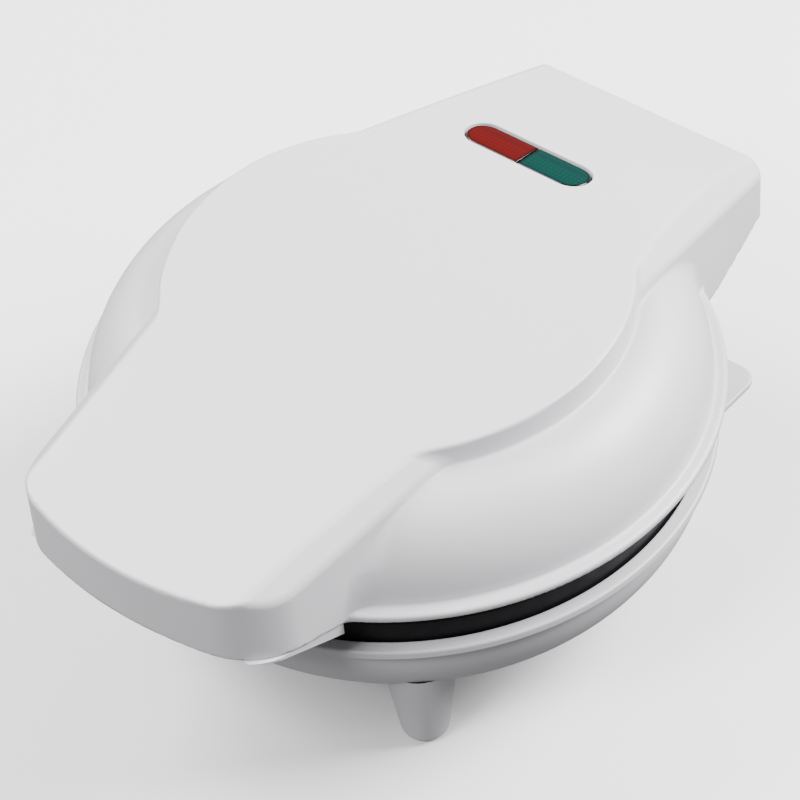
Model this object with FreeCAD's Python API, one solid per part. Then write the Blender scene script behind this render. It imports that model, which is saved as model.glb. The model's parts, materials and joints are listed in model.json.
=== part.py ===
import FreeCAD, Part
import math
import os

# Round electric donut maker: a clamshell with a deep bowl-shaped base on four
# tapered feet and a domed lid that carries the handle, hinged at the rear.
# Frame: millimetres, +Z up, +Y towards the hinge, X along the hinge rod.
# The origin is on the vertical axis of the two round plates, at table height.

V = FreeCAD.Vector

# ---- overall sizes -------------------------------------------------------
body_radius = 98.0                      # outer edge of the lid's flat lip
base_lip_radius = body_radius - 2.5     # outer edge of the base's lip
foot_clearance = 20.0                   # table to the underside of the base
base_depth = 35.0                       # underside of the base to the top of its lip
handle_reach = body_radius + 27.5       # plate axis to the middle of the handle's front edge
rear_reach = body_radius + 27.5         # plate axis to the back of the hinge housing
crown_rise = 41.0                       # lid's lip to the highest line of its crowned top

# ---- lid shell -----------------------------------------------------------
wall = 2.4                              # moulded wall of both shells
lip_height = 3.0
dome_radius = body_radius - 4.0         # where the dome rises from the lip
dome_rise = 31.5                        # lid's lip to the foot of the raised disc
disc_radius = dome_radius - 23.6        # raised disc in the middle of the lid
disc_offset = 1.8                       # the disc's centre, behind the plate axis
crown_line = 11.4                       # where the crown is highest, behind the plate axis
crown_front_radius = 757.0              # lengthwise curvature towards the handle
crown_rear_radius = 318.0               # lengthwise curvature towards the hinge

# ---- handle --------------------------------------------------------------
handle_root_half = 54.6                 # half width where it leaves the disc
handle_root_y = -42.0
handle_tip_half = 45.0                  # half width at the front edge
handle_corner = 13.0
handle_bow = 4.0                        # how far the front edge bulges
handle_bevel = 4.8
handle_front_depth = 15.0               # height of the front face below its bevel
handle_under_start = 15.0 - body_radius # where the underside leaves the lip
handle_cover_near = 5.0                 # how far the cover stands proud beside the lid's lip
handle_cover_far = -1.3                 # the same at the front; below zero the flange ends before the corners
handle_cover_edge = 0.8                 # handle's side to the side of the cover's flange
handle_screw_half = 20.0
handle_screw_y = 17.5 - handle_reach

# ---- hinge housing at the back of the lid --------------------------------
housing_root_half = 58.0
housing_root_y = 45.0
housing_tip_half = 44.8
housing_corner = 3.5
housing_bevel = 4.2
housing_slope_rear = 0.0                # height of its lower rear edge above the lid's lip
housing_slope_front = -7.0              # the same, at the front of the slanted edge
housing_slope_front_y = body_radius - 4.4

# ---- hinge ---------------------------------------------------------------
hinge_above_lip = 1.0
rod_radius = 2.5
rod_half_length = 45.0
rod_running_fit = 0.05
knuckle_radius = 6.0
ear_inner = 34.0
ear_outer = 40.5
ear_lip_gap = 2.0                       # lid's lip to the front of the ears
knuckle_side_gap = 0.6
other_gap = 0.3                         # between pieces that only lie close together
boss_fit = 0.2                          # round a screw boss that goes through a hole

# ---- cooking plates ------------------------------------------------------
plate_fit = 0.5                         # plate edge to the shell around it
plate_reveal = 7.4                      # black edge that stands out of each shell
plate_gap = 0.4                         # between the closed plates
plate_web = 2.5
plate_rim_wall = 2.5
plate_rim_depth = 5.0                   # how far the rim goes on into the shell
ring_pitch = 57.0                       # plate axis to the centres of the outer rings
ring_count = 6
ring_mid_radius = 16.5                  # centre line of one ring-shaped well
ring_well_radius = 9.5                  # half the thickness of a donut's ring
ring_wall = 2.0
clamp_boss_place = 33.0
clamp_hole_room = 1.0                   # past the tip of a clamp screw
boss_radius = 4.5
clamp_boss_radius = 3.6

# ---- heating and wiring --------------------------------------------------
element_radius = ring_pitch
element_tube = 3.25
element_gap_angle = 36.0                # open part of the ring, at the rear
terminal_length = 6.0
terminal_radius = 2.0
clamp_thickness = 1.2
clamp_width = 8.0
clamp_riser_gap = 2.5                   # element to the upright part of its strap
clamp_element_gap = 0.1
shield_clearance = 4.0                  # element to heat shield
shield_sheet = 0.8
shield_edge = 7.0
shield_post_gap = 0.6
shield_terminal_gap = 2.0
fuse_radius = 2.2
fuse_half = 14.0
fuse_lead = 10.0
fuse_lead_radius = 0.7
fuse_lift = 2.6                         # shield to the fuse's axis
fuse_clip_half = 10.0
fuse_clip_sheet = 0.4
fuse_clip_wall = 1.2
thermostat_radius = 8.5
thermostat_depth = 6.0
thermostat_cap = 2.0                    # depth of its cap, and the step in radius
thermostat_tab_place = 4.0
thermostat_tab_width = 5.0
thermostat_tab_reach = 2.4

# ---- base shell ----------------------------------------------------------
bowl_top_radius = base_lip_radius - 2.0
bowl_floor_radius = bowl_top_radius - 29.5
cover_radius = bowl_floor_radius - 6.0
cover_ledge = 4.0
cover_sheet = 2.4
cover_fit = 0.4
cover_screw_place = cover_radius - 8.0
tab_half = body_radius - 21.0           # rear corner tabs on the base's lip
tab_rear = body_radius - 20.5
tab_sheet = 2.2
tab_corner = 6.0
tab_depth = 30.0
ear_foot = 20.0                         # hinge axis to the front of an ear's foot
ear_lip_inset = 1.5                     # edge of the base's lip to the back of an ear's foot
cover_boss_height = 12.0
rib_height = 8.0
rib_width = 2.4
rib_past = 4.0                          # how far a rib goes on over the bowl's side
slot_rows = 3                           # rows of cooling slots on each side of the middle row
slot_pitch = 8.0
slot_width = 3.0
slot_half = 16.0
slot_step = 2.0                         # how much shorter each row's half length is

# ---- feet ----------------------------------------------------------------
foot_place = bowl_floor_radius + 12.0
foot_angle = 48.5                       # from the X axis
foot_top_radius = 13.0
foot_tip_radius = 7.0
foot_round = 2.6
foot_height = 22.0                      # base's underside to the widest part of a foot
foot_boss_height = 3.2                  # bowl's inside to the seat of a foot's screw
foot_hole_room = 1.0

# ---- indicator lamps -----------------------------------------------------
lens_x = -6.5
lens_y = 73.0
lens_length = 46.0
lens_width = 12.6
lens_proud = 0.5
lens_split = 0.4                        # slot between the two colours
lens_fit = 0.25
lens_depth = 5.0
tray_room = 2.0                         # free space around the lamp tray
tray_end = 3.0                          # lens to the ends of the tray
tray_side = 2.5                         # lens to the sides of the tray
tray_gap = 0.2                          # lens to the top of the tray
tray_wall = 1.4
tray_middle_wall = 1.6
tray_depth = 9.2
lamp_radius = 2.6
lamp_length = 11.0
lamp_sink = 1.2                         # top of the tray to the top of a lamp

# ---- small screws and mains fittings -------------------------------------
screw_radius = 1.6
screw_head_radius = 3.2
screw_head = 2.0
screw_length = 10.0
screw_fit = 0.1
screw_tip_room = 2.0                    # free depth past a screw's tip
recess_width = 0.7
recess_depth = 1.0
clamp_screw_length = 6.0
gland_radius = 4.6
gland_bore = 3.2
gland_height = 31.0
gland_pad = 8.0
gland_reach = body_radius - 7.0         # plate axis to the end of the pad around the gland
gland_inside = 16.0
gland_fit = 0.1
gland_flange = 2.0                      # its thickness, and how far it stands out around the bush
gland_past = 3.0                        # how far the bush goes on past the pad
block_half = 15.0                       # terminal block
block_depth = 8.0
block_height = 10.0
block_gap = 0.2                         # over the bowl's floor
wire_pitch = 10.0
wire_hole_radius = 1.8
wire_screw_radius = 1.4
wire_hole_height = 4.0

# ---- levels and places that follow ---------------------------------------
base_floor = foot_clearance
base_lip_top = base_floor + base_depth
lower_face = base_lip_top + plate_reveal
upper_face = lower_face + plate_gap
lid_lip = upper_face + plate_reveal
lip_top = lid_lip + lip_height
disc_foot = lid_lip + dome_rise
crown_top = lid_lip + crown_rise
plate_radius = min(dome_radius, bowl_top_radius) - wall - plate_fit
hinge_y = math.sqrt(body_radius ** 2 - ear_inner ** 2) + ear_lip_gap + knuckle_radius
hinge_z = lid_lip + hinge_above_lip
plate_screw_place = plate_radius - 14.6
shield_radius = plate_radius - 6.6
well_back = ring_well_radius + ring_wall
rear_length = rear_reach - housing_root_y
above_all = crown_top + 20.0
overshoot = 30.0                        # how far cutting shapes go on past what they cut
screw_hole = screw_radius + screw_fit
terminal_angles = [90.0 - element_gap_angle / 2, 90.0 + element_gap_angle / 2]
cover_angles = [45.0, 135.0, 225.0, 315.0]
boss_angles = [30.0, 150.0, 270.0]
clamp_angles = [90.0, 210.0, 330.0]


# ---- shape helpers -------------------------------------------------------
def rod(radius, start, end):
    """Round bar between two points."""
    return Part.makeCylinder(radius, (end - start).Length, start, end - start)


def post(radius, x, y, low, high):
    """Upright round bar."""
    return Part.makeCylinder(radius, high - low, V(x, y, low), V(0, 0, 1))


def block(x0, x1, y0, y1, z0, z1):
    """Box between two corners."""
    return Part.makeBox(x1 - x0, y1 - y0, z1 - z0, V(x0, y0, z0))


def line(a, b):
    return Part.LineSegment(a, b).toShape()


def quarter(start, corner, end):
    """Quarter-ellipse-like curve that leaves and arrives along the two sides of a corner."""
    ease = 0.5523
    curve = Part.BezierCurve()
    curve.setPoles([start, start + (corner - start) * ease, end + (corner - end) * ease, end])
    return curve.toShape()


def spin(edges):
    """Solid of revolution about Z from a closed outline in the XZ plane."""
    face = Part.Face(Part.Wire(edges))
    return face.revolve(V(0, 0, 0), V(0, 0, 1), 360)


def lift(outline, low, high):
    """Upright prism of a closed outline drawn at height zero."""
    face = Part.Face(Part.Wire(outline))
    face.translate(V(0, 0, low))
    return face.extrude(V(0, 0, high - low))


def profile_yz(points, half):
    """Prism along X, from -half to half, of a polygon of (y, z) pairs."""
    ring = [V(-half, y, z) for y, z in points]
    return Part.Face(Part.makePolygon(ring + ring[:1])).extrude(V(2 * half, 0, 0))


def around(radius, angles):
    """Points on a circle about the plate axis."""
    return [(radius * math.cos(math.radians(a)), radius * math.sin(math.radians(a))) for a in angles]


def joined(shapes):
    """All the shapes fused, without leftover seams."""
    return shapes[0].multiFuse(shapes[1:]).removeSplitter()


def group(shapes):
    """Separate solids kept side by side."""
    return Part.makeCompound(shapes)


def mirror_x(shape):
    return shape.mirror(V(0, 0, 0), V(1, 0, 0))


# ---- crowned top and plan outlines ---------------------------------------
def crown_z(y, inset=0.0):
    """Height of the crowned top at a place along the object, less a wall."""
    radius = crown_front_radius if y < crown_line else crown_rear_radius
    depth = radius - inset
    return crown_top - radius + math.sqrt(depth ** 2 - (y - crown_line) ** 2)


def under_crown(inset):
    """Everything below the crowned top, moved down by a wall."""
    far = rear_reach + 40.0
    half = body_radius + 20.0

    def at(y):
        return V(-half, y, crown_z(y, inset))

    middle_front = (crown_line - far) / 2
    middle_rear = (crown_line + far) / 2
    top = V(-half, crown_line, crown_top - inset)
    front_low = V(-half, -far, 0)
    rear_low = V(-half, far, 0)
    edges = [line(front_low, at(-far)),
             Part.Arc(at(-far), at(middle_front), top).toShape(),
             Part.Arc(top, at(middle_rear), at(far)).toShape(),
             line(at(far), rear_low),
             line(rear_low, front_low)]
    return Part.Face(Part.Wire(edges)).extrude(V(2 * half, 0, 0))


def rounded(points, radii):
    """Closed outline through the points, each corner rounded by its own radius."""
    count = len(points)
    starts = []
    ends = []
    mids = []
    for i in range(count):
        here = points[i]
        back = (points[i - 1] - here).normalize()
        ahead = (points[(i + 1) % count] - here).normalize()
        if radii[i] <= 0:
            starts.append(here)
            ends.append(here)
            mids.append(None)
            continue
        half = back.getAngle(ahead) / 2
        reach = radii[i] / math.tan(half)
        bisector = (back + ahead).normalize()
        starts.append(here + back * reach)
        ends.append(here + ahead * reach)
        mids.append(here + bisector * (radii[i] / math.sin(half) - radii[i]))
    edges = []
    for i in range(count):
        if mids[i] is not None:
            edges.append(Part.Arc(starts[i], mids[i], ends[i]).toShape())
        edges.append(line(ends[i], starts[(i + 1) % count]))
    return edges


def handle_half(y):
    """Half width of the handle at a place along it."""
    share = (handle_root_y - y) / (handle_root_y + handle_reach)
    return handle_root_half + (handle_tip_half - handle_root_half) * share


def housing_half(y):
    """Half width of the hinge housing at a place along it."""
    share = (y - housing_root_y) / rear_length
    return housing_root_half + (housing_tip_half - housing_root_half) * share


def handle_outline(inset):
    """Handle in plan: straight tapering sides, round corners and a bowed front edge."""
    front = -handle_reach + inset
    shoulder = front + handle_bow
    corner = handle_corner - inset
    side = handle_half(shoulder) - inset
    root = handle_root_half - inset
    corner_turn = math.atan2(handle_root_half - handle_tip_half, handle_root_y + handle_reach)
    flat = side - corner * (1 + math.sin(corner_turn))
    middle = V(side - corner * (1 - math.cos(math.radians(45))),
               shoulder + corner * (1 - math.sin(math.radians(45))), 0)
    arc_end = V(side + corner * math.sin(corner_turn), shoulder + corner, 0)

    def left(p):
        return V(-p.x, p.y, 0)

    start = V(flat, shoulder, 0)
    root_point = V(root, handle_root_y, 0)
    back = V(root, 0, 0)
    return [Part.Arc(left(start), V(0, front, 0), start).toShape(),
            Part.Arc(start, middle, arc_end).toShape(),
            line(arc_end, root_point),
            line(root_point, back),
            line(back, left(back)),
            line(left(back), left(root_point)),
            line(left(root_point), left(arc_end)),
            Part.Arc(left(arc_end), left(middle), left(start)).toShape()]


def housing_outline(inset):
    """Hinge housing in plan: it narrows towards the back, where its corners are round."""
    root = V(housing_root_half - inset, housing_root_y, 0)
    tip = V(housing_tip_half - inset, rear_reach - inset, 0)
    start = V(root.x, 0, 0)
    points = [start, root, tip, V(-tip.x, tip.y, 0), V(-root.x, root.y, 0), V(-start.x, 0, 0)]
    corner = max(housing_corner - inset, 0.6)
    return rounded(points, [0, 0, corner, corner, 0, 0])


def bevel_cut(half_a, y_a, half_b, y_b, width):
    """Wedge that takes a flat bevel off one top edge; its lower edge runs straight."""
    def section(half, y):
        low = crown_z(y) - width
        over = low + width + overshoot
        return Part.makePolygon([V(half, y, low), V(half + overshoot, y, low), V(half + overshoot, y, over),
                                 V(half - width - overshoot, y, over), V(half, y, low)])
    return Part.makeLoft([section(half_a, y_a), section(half_b, y_b)], True, True)


def underside_z(y):
    """Height of the handle's underside, which rises towards the front."""
    front_z = crown_z(-handle_reach) - handle_bevel - handle_front_depth
    slope = (front_z - lid_lip) / (handle_reach + handle_under_start)
    return lid_lip + slope * (handle_under_start - y)


def below_handle(drop):
    """Everything under the handle's sloping underside, moved down by drop."""
    front = -handle_reach - 20
    return profile_yz([(front, 0), (front, underside_z(front) - drop),
                       (handle_under_start, lid_lip - drop), (0, lid_lip - drop), (0, 0)],
                      body_radius)


def above_housing_slope():
    """Everything above the slanted lower edge of the hinge housing."""
    slope = (housing_slope_rear - housing_slope_front) / (rear_reach - housing_slope_front_y)

    def at(y):
        return lid_lip + housing_slope_front + slope * (y - housing_slope_front_y)

    return profile_yz([(0, at(housing_slope_front_y)), (housing_slope_front_y, at(housing_slope_front_y)),
                       (rear_reach + 20, at(rear_reach + 20)), (rear_reach + 20, above_all),
                       (0, above_all)], body_radius)


# ---- lid shell -----------------------------------------------------------
def lid_round(inset):
    """Lip and dome, or the hollow inside them when inset is the wall."""
    foot = dome_radius - inset
    low = lid_lip if inset else lip_top
    top = disc_foot - inset
    rim = V(foot, 0, lip_top)
    shoulder = V(disc_radius - inset, 0, top)
    edges = [line(V(0, 0, low - inset), V(foot, 0, low - inset)),
             line(V(foot, 0, low - inset), rim)] if inset else [line(V(0, 0, low), rim)]
    edges += [quarter(rim, V(foot, 0, top), shoulder),
              line(shoulder, V(0, 0, top)),
              line(V(0, 0, top), edges[0].Vertexes[0].Point)]
    return spin(edges)


def lip_disc():
    return post(body_radius, 0, 0, lid_lip, lip_top)


def raised_handle():
    solid = lift(handle_outline(0.0), lid_lip - 5, above_all)
    for side in (1, -1):
        cut = bevel_cut(handle_half(-handle_reach), -handle_reach,
                        handle_half(handle_root_y), handle_root_y, handle_bevel)
        solid = solid.cut(cut if side == 1 else mirror_x(cut))
    return solid.cut(below_handle(0.0))


def raised_housing():
    """Hinge housing, down to its slanted lower edge outside the lid's lip."""
    solid = lift(housing_outline(0.0), lid_lip - 20, above_all)
    cut = bevel_cut(housing_half(housing_root_y), housing_root_y,
                    housing_half(rear_reach), rear_reach, housing_bevel)
    solid = solid.cut(cut).cut(mirror_x(cut)).common(above_housing_slope())
    return solid.cut(post(body_radius, 0, 0, 0, lid_lip))


def handle_hollow():
    """Space in the handle, outside the dome and open underneath."""
    space = lift(handle_outline(wall), lid_lip - 5, above_all).common(under_crown(wall))
    for side in (1, -1):
        cut = bevel_cut(handle_half(-handle_reach) - wall, -handle_reach,
                        handle_half(handle_root_y) - wall, handle_root_y, handle_bevel + wall / 2)
        space = space.cut(cut if side == 1 else mirror_x(cut))
    return space.cut(lid_round(0.0)).cut(lip_disc())


def housing_hollow():
    """Space in the hinge housing, outside the dome and open underneath."""
    space = lift(housing_outline(wall), lid_lip - 20, above_all).common(under_crown(wall))
    cut = bevel_cut(housing_half(housing_root_y) - wall, housing_root_y,
                    housing_half(rear_reach) - wall, rear_reach, housing_bevel + wall / 2)
    space = space.cut(cut).cut(mirror_x(cut))
    return space.cut(lid_round(0.0)).cut(lip_disc())


def disc_hollow():
    """Space under the raised disc, above the dome's own hollow."""
    space = post(disc_radius - wall, 0, disc_offset, disc_foot - wall - 1, above_all)
    return space.common(under_crown(wall))


def hinge_knuckles():
    """Bosses inside the housing's cheeks that turn on the rod."""
    start = ear_outer + knuckle_side_gap
    end = housing_half(hinge_y) - wall / 2
    right = rod(knuckle_radius, V(start, hinge_y, hinge_z), V(end, hinge_y, hinge_z))
    return [right, mirror_x(right)]


def lid_posts(low, place, angles, radius):
    """Posts that hang from the inside of the lid."""
    inside = joined([lid_round(0.0), disc_solid()])
    return [post(radius, x, y, low, above_all).common(inside) for x, y in around(place, angles)]


def disc_solid():
    return post(disc_radius, 0, disc_offset, disc_foot - 1, above_all).common(under_crown(0.0))


def handle_posts():
    """Two posts in the handle for its cover's screws, which end on the cover."""
    posts = [post(boss_radius, x, handle_screw_y, handle_screw_seat() + wall / 2, above_all)
             for x in (-handle_screw_half, handle_screw_half)]
    solid = raised_handle().common(under_crown(0.0))
    return [p.common(solid) for p in posts]


def lens_pill(length, width, low, high):
    """Round-ended bar across the lid, square to the crown where the lamps are."""
    straight = length / 2 - width / 2
    half = width / 2
    a = V(-straight, -half, 0)
    b = V(straight, -half, 0)
    c = V(straight, half, 0)
    d = V(-straight, half, 0)
    edges = [line(a, b), Part.Arc(b, V(length / 2, 0, 0), c).toShape(),
             line(c, d), Part.Arc(d, V(-length / 2, 0, 0), a).toShape()]
    return seat_lens(lift(edges, low, high))


def seat_lens(shape):
    """Move a shape from its own frame to the lamps' place on the crown."""
    tilt = math.degrees(math.asin((lens_y - crown_line) / crown_rear_radius))
    shape.rotate(V(0, 0, 0), V(1, 0, 0), -tilt)
    shape.translate(V(lens_x, lens_y, crown_z(lens_y)))
    return shape


def make_lid_shell():
    solid = joined([lip_disc(), lid_round(0.0), disc_solid(),
                    raised_handle().common(under_crown(0.0)),
                    raised_housing().common(under_crown(0.0))])
    solid = solid.cut(lid_round(wall)).cut(disc_hollow())
    solid = solid.cut(handle_hollow()).cut(housing_hollow())
    posts = lid_posts(upper_face + plate_web, plate_screw_place, boss_angles, boss_radius)
    solid = joined([solid] + posts + handle_posts() + hinge_knuckles())
    for x, y in around(plate_screw_place, boss_angles):
        solid = solid.cut(post(screw_hole, x, y, 0, upper_face + screw_length + screw_tip_room))
    for x in (-handle_screw_half, handle_screw_half):
        solid = solid.cut(post(screw_hole, x, handle_screw_y, 0,
                               underside_z(handle_screw_y) + screw_length))
    reach = rod_half_length + rod_running_fit
    solid = solid.cut(rod(rod_radius + rod_running_fit, V(-reach, hinge_y, hinge_z),
                          V(reach, hinge_y, hinge_z)))
    solid = solid.cut(seat_lens(lamp_tray(tray_room)))
    return solid.cut(lens_pill(lens_length + 2 * lens_fit, lens_width + 2 * lens_fit,
                               -2 * lens_depth, 2 * lens_depth))


def below_cover(up):
    """Everything under the cover's lower face, which is steeper than the handle's underside, moved by up."""
    front = -handle_reach
    near = lid_lip - handle_cover_near + up
    far = underside_z(front) - handle_cover_far + up
    past = far + (far - near) * 20 / (handle_reach + handle_under_start)
    return profile_yz([(front - 20, 0), (front - 20, past), (handle_under_start, near), (0, near), (0, 0)],
                      body_radius)


def cover_z(y):
    """Height of the cover's lower face."""
    share = (handle_under_start - y) / (handle_reach + handle_under_start)
    near = lid_lip - handle_cover_near
    return near + (underside_z(-handle_reach) - handle_cover_far - near) * share


def make_handle_cover():
    """Tray that plugs the handle from below, with a flange that stands proud of the handle's rim."""
    edge = wall + other_gap
    plate = lift(handle_outline(edge), lid_lip - 20, above_all)
    plate = plate.common(below_handle(-wall)).cut(below_handle(0.0))
    flange = lift(handle_outline(handle_cover_edge), lid_lip - 20, above_all)
    flange = flange.common(below_handle(0.0)).cut(below_cover(0.0))
    plate = joined([plate, flange])
    pocket = lift(handle_outline(edge + wall), lid_lip - 20, above_all).common(below_handle(-wall - 1))
    plate = plate.cut(pocket.cut(below_cover(wall)))
    plate = plate.cut(post(body_radius + other_gap, 0, 0, 0, above_all))
    for x in (-handle_screw_half, handle_screw_half):
        boss_space = handle_screw_seat() + wall / 2
        plate = plate.cut(post(boss_radius + boss_fit, x, handle_screw_y, boss_space, above_all))
        plate = plate.cut(post(screw_hole, x, handle_screw_y, 0, above_all))
        plate = plate.cut(post(screw_head_radius + other_gap, x, handle_screw_y, 0, handle_screw_seat()))
    return plate


def handle_screw_seat():
    """Level that the cover's screw heads rest on, sunk into the cover."""
    return cover_z(handle_screw_y) + wall / 2


# ---- indicator lamps -----------------------------------------------------
def make_lens(side):
    """One coloured half of the lens; side is -1 for the left and 1 for the right."""
    pill = lens_pill(lens_length, lens_width, -lens_depth, lens_proud)
    half = block(lens_split / 2, lens_length, -lens_length, lens_length, -2 * lens_depth, lens_depth)
    if side < 0:
        half = mirror_x(half)
    return pill.common(seat_lens(half))


def lamp_tray(extra):
    """Outer block of the lamp tray, in the lens's own frame, grown by extra."""
    half_x = lens_length / 2 + tray_end + extra
    half_y = lens_width / 2 + tray_side + extra
    top = -lens_depth - tray_gap
    return block(-half_x, half_x, -half_y, half_y, top - tray_depth - extra, top + extra)


def make_indicator_housing():
    """Tray under the lens with one bay for each lamp and a wall between them."""
    tray = lamp_tray(0.0)
    end = lens_length / 2 + tray_end - tray_wall
    side = lens_width / 2 + tray_side - tray_wall
    floor = -lens_depth - tray_gap - tray_depth + tray_wall
    bay = block(tray_middle_wall / 2, end, -side, side, floor, 0)
    tray = tray.cut(bay).cut(mirror_x(bay))
    return seat_lens(tray)


def make_lamp(side):
    """Small glass neon lamp lying in its bay."""
    middle = side * lens_length / 4
    level = -lens_depth - tray_gap - lamp_sink - lamp_radius
    straight = lamp_length / 2 - lamp_radius
    glass = rod(lamp_radius, V(middle - straight, 0, level), V(middle + straight, 0, level))
    ends = [Part.makeSphere(lamp_radius, V(middle + s * straight, 0, level)) for s in (-1, 1)]
    return seat_lens(joined([glass] + ends))


# ---- cooking plates ------------------------------------------------------
def ring_centres():
    outer = around(ring_pitch, [i * 360.0 / ring_count for i in range(ring_count)])
    return [(0.0, 0.0)] + outer


def make_cooking_plate(face, up):
    """Round die-cast plate with ring wells; up is 1 in the lid and -1 in the base."""
    def span(radius, a, b):
        return post(radius, 0, 0, min(a, b), max(a, b))

    rim_end = face + up * (plate_reveal + plate_rim_depth)
    body = span(plate_radius, face, rim_end).cut(
        span(plate_radius - plate_rim_wall, face + up * plate_web, rim_end + up))
    back_side = span(body_radius, face, face + up * overshoot)
    backs = [Part.makeTorus(ring_mid_radius, ring_well_radius + ring_wall, V(x, y, face)).common(back_side)
             for x, y in ring_centres()]
    boss_end = face + up * well_back
    bosses = [post(clamp_boss_radius, x, y, min(face, boss_end), max(face, boss_end))
              for x, y in around(clamp_boss_place, clamp_angles)]
    plate = joined([body] + backs + bosses)
    for x, y in ring_centres():
        plate = plate.cut(Part.makeTorus(ring_mid_radius, ring_well_radius, V(x, y, face)))
    for x, y in around(plate_screw_place, boss_angles):
        plate = plate.cut(post(screw_hole, x, y, face - 2 * plate_web, face + 2 * plate_web))
        wide = screw_head_radius + screw_fit
        sink = Part.makeCone(wide, screw_hole, screw_head, V(x, y, face), V(0, 0, up))
        plate = plate.cut(sink)
    for x, y in around(clamp_boss_place, clamp_angles):
        top = face + up * well_back
        start = top - up * (clamp_screw_length + clamp_hole_room)
        plate = plate.cut(post(screw_hole, x, y, min(start, top), max(start, top)))
    return plate


def plate_screw(x, y, face, up):
    """Countersunk screw, flush with the cooking face, with a cross recess."""
    head = Part.makeCone(screw_head_radius, screw_radius, screw_head, V(x, y, face), V(0, 0, up))
    shank = Part.makeCylinder(screw_radius, screw_length, V(x, y, face), V(0, 0, up))
    return joined([head, shank]).cut(cross_recess(x, y, face, up))


def cross_recess(x, y, face, up):
    """Two crossed slots in a screw head."""
    low = min(face, face + up * recess_depth)
    high = low + recess_depth
    long = screw_head_radius * 0.6
    half = recess_width / 2
    return joined([block(x - long, x + long, y - half, y + half, low, high),
                   block(x - half, x + half, y - long, y + long, low, high)])


def pan_screw(x, y, seat, up, length):
    """Pan-head screw whose head rests on a seat; up is the way the shank points."""
    head = Part.makeCylinder(screw_head_radius, screw_head, V(x, y, seat), V(0, 0, -up))
    shank = Part.makeCylinder(screw_radius, length, V(x, y, seat), V(0, 0, up))
    outer = seat - up * screw_head
    return joined([head, shank]).cut(cross_recess(x, y, outer, up))


# ---- heating -------------------------------------------------------------
def element_level(face, up):
    return face + up * (well_back + element_tube)


def make_element(face, up):
    """Tubular heating element: an open ring with two upright terminals at the rear."""
    level = element_level(face, up)
    ring = Part.makeTorus(element_radius, element_tube, V(0, 0, level), V(0, 0, 1), 0, 360,
                          360 - element_gap_angle)
    ring.rotate(V(0, 0, 0), V(0, 0, 1), 90 + element_gap_angle / 2)
    pieces = [ring]
    for x, y in around(element_radius, terminal_angles):
        pieces.append(Part.makeSphere(element_tube, V(x, y, level)))
        tip = V(x, y, level + up * (element_tube + terminal_length))
        pieces.append(rod(terminal_radius, V(x, y, level), tip))
    return joined(pieces)


def make_clamps(face, up):
    """Straps from the plate's bosses over the element."""
    straps = []
    seat = face + up * well_back
    over = face + up * (well_back + 2 * element_tube + clamp_element_gap)
    for angle in clamp_angles:
        r0 = clamp_boss_place - clamp_width / 2
        r1 = element_radius + element_tube
        riser = element_radius - element_tube - clamp_riser_gap
        half = clamp_width / 2

        def piece(a, b, low, high):
            return block(a, b, -half, half, min(low, high), max(low, high))

        strap = joined([piece(r0, riser + clamp_thickness, seat, seat + up * clamp_thickness),
                        piece(riser, riser + clamp_thickness, seat, over + up * clamp_thickness),
                        piece(riser, r1, over, over + up * clamp_thickness)])
        hole = post(screw_hole, clamp_boss_place, 0, 0, above_all)
        strap = strap.cut(hole)
        strap.rotate(V(0, 0, 0), V(0, 0, 1), angle)
        straps.append(strap)
    return group(straps)


def make_clamp_screws(face, up):
    seat = face + up * (well_back + clamp_thickness)
    return group([pan_screw(x, y, seat, -up, clamp_screw_length)
                  for x, y in around(clamp_boss_place, clamp_angles)])


def shield_level(face, up):
    return element_level(face, up) + up * (element_tube + clamp_thickness + shield_clearance)


def make_shield(face, up):
    """Shallow sheet pan behind the element, with holes for the posts."""
    level = shield_level(face, up)
    back = level + up * shield_sheet
    edge = level - up * shield_edge
    pan = post(shield_radius, 0, 0, min(edge, back), max(edge, back))
    pan = pan.cut(post(shield_radius - shield_sheet, 0, 0, min(edge - up, level), max(edge - up, level)))
    for x, y in around(plate_screw_place, boss_angles):
        pan = pan.cut(post(boss_radius + shield_post_gap, x, y, 0, above_all))
    for x, y in around(element_radius, terminal_angles):
        pan = pan.cut(post(terminal_radius + shield_terminal_gap, x, y, 0, above_all))
    return pan


def make_thermal_fuse():
    """Sleeved one-shot fuse lying across the middle of the lid's heat shield."""
    level = shield_level(upper_face, 1) + shield_sheet + fuse_lift
    body = rod(fuse_radius, V(-fuse_half, 0, level), V(fuse_half, 0, level))
    half = fuse_half + fuse_lead
    leads = rod(fuse_lead_radius, V(-half, 0, level), V(half, 0, level))
    return joined([body, leads])


def make_fuse_clip():
    """Bent strap that holds the fuse down."""
    low = shield_level(upper_face, 1) + shield_sheet
    axis_z = low + fuse_lift
    half = clamp_width / 2
    round_fuse = fuse_radius + fuse_clip_wall
    strap = joined([block(-half, half, -fuse_clip_half, fuse_clip_half, low, low + fuse_clip_sheet),
                    block(-half, half, -round_fuse, round_fuse, low, axis_z + round_fuse)])
    return strap.cut(rod(fuse_radius + screw_fit, V(-fuse_half, 0, axis_z), V(fuse_half, 0, axis_z)))


def make_thermostat():
    """Bimetal thermostat against the back of the lower plate's middle ring."""
    seat = lower_face - well_back
    body_end = seat - thermostat_depth
    cap_end = body_end - thermostat_cap
    body = post(thermostat_radius, 0, 0, body_end, seat)
    cap = post(thermostat_radius - thermostat_cap, 0, 0, cap_end, body_end)
    near = thermostat_tab_place - thermostat_tab_width / 2
    tab = block(near, near + thermostat_tab_width, -shield_sheet / 2, shield_sheet / 2,
                cap_end - thermostat_tab_reach, cap_end)
    tabs = [tab, mirror_x(tab)]
    return joined([body, cap] + tabs)


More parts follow.
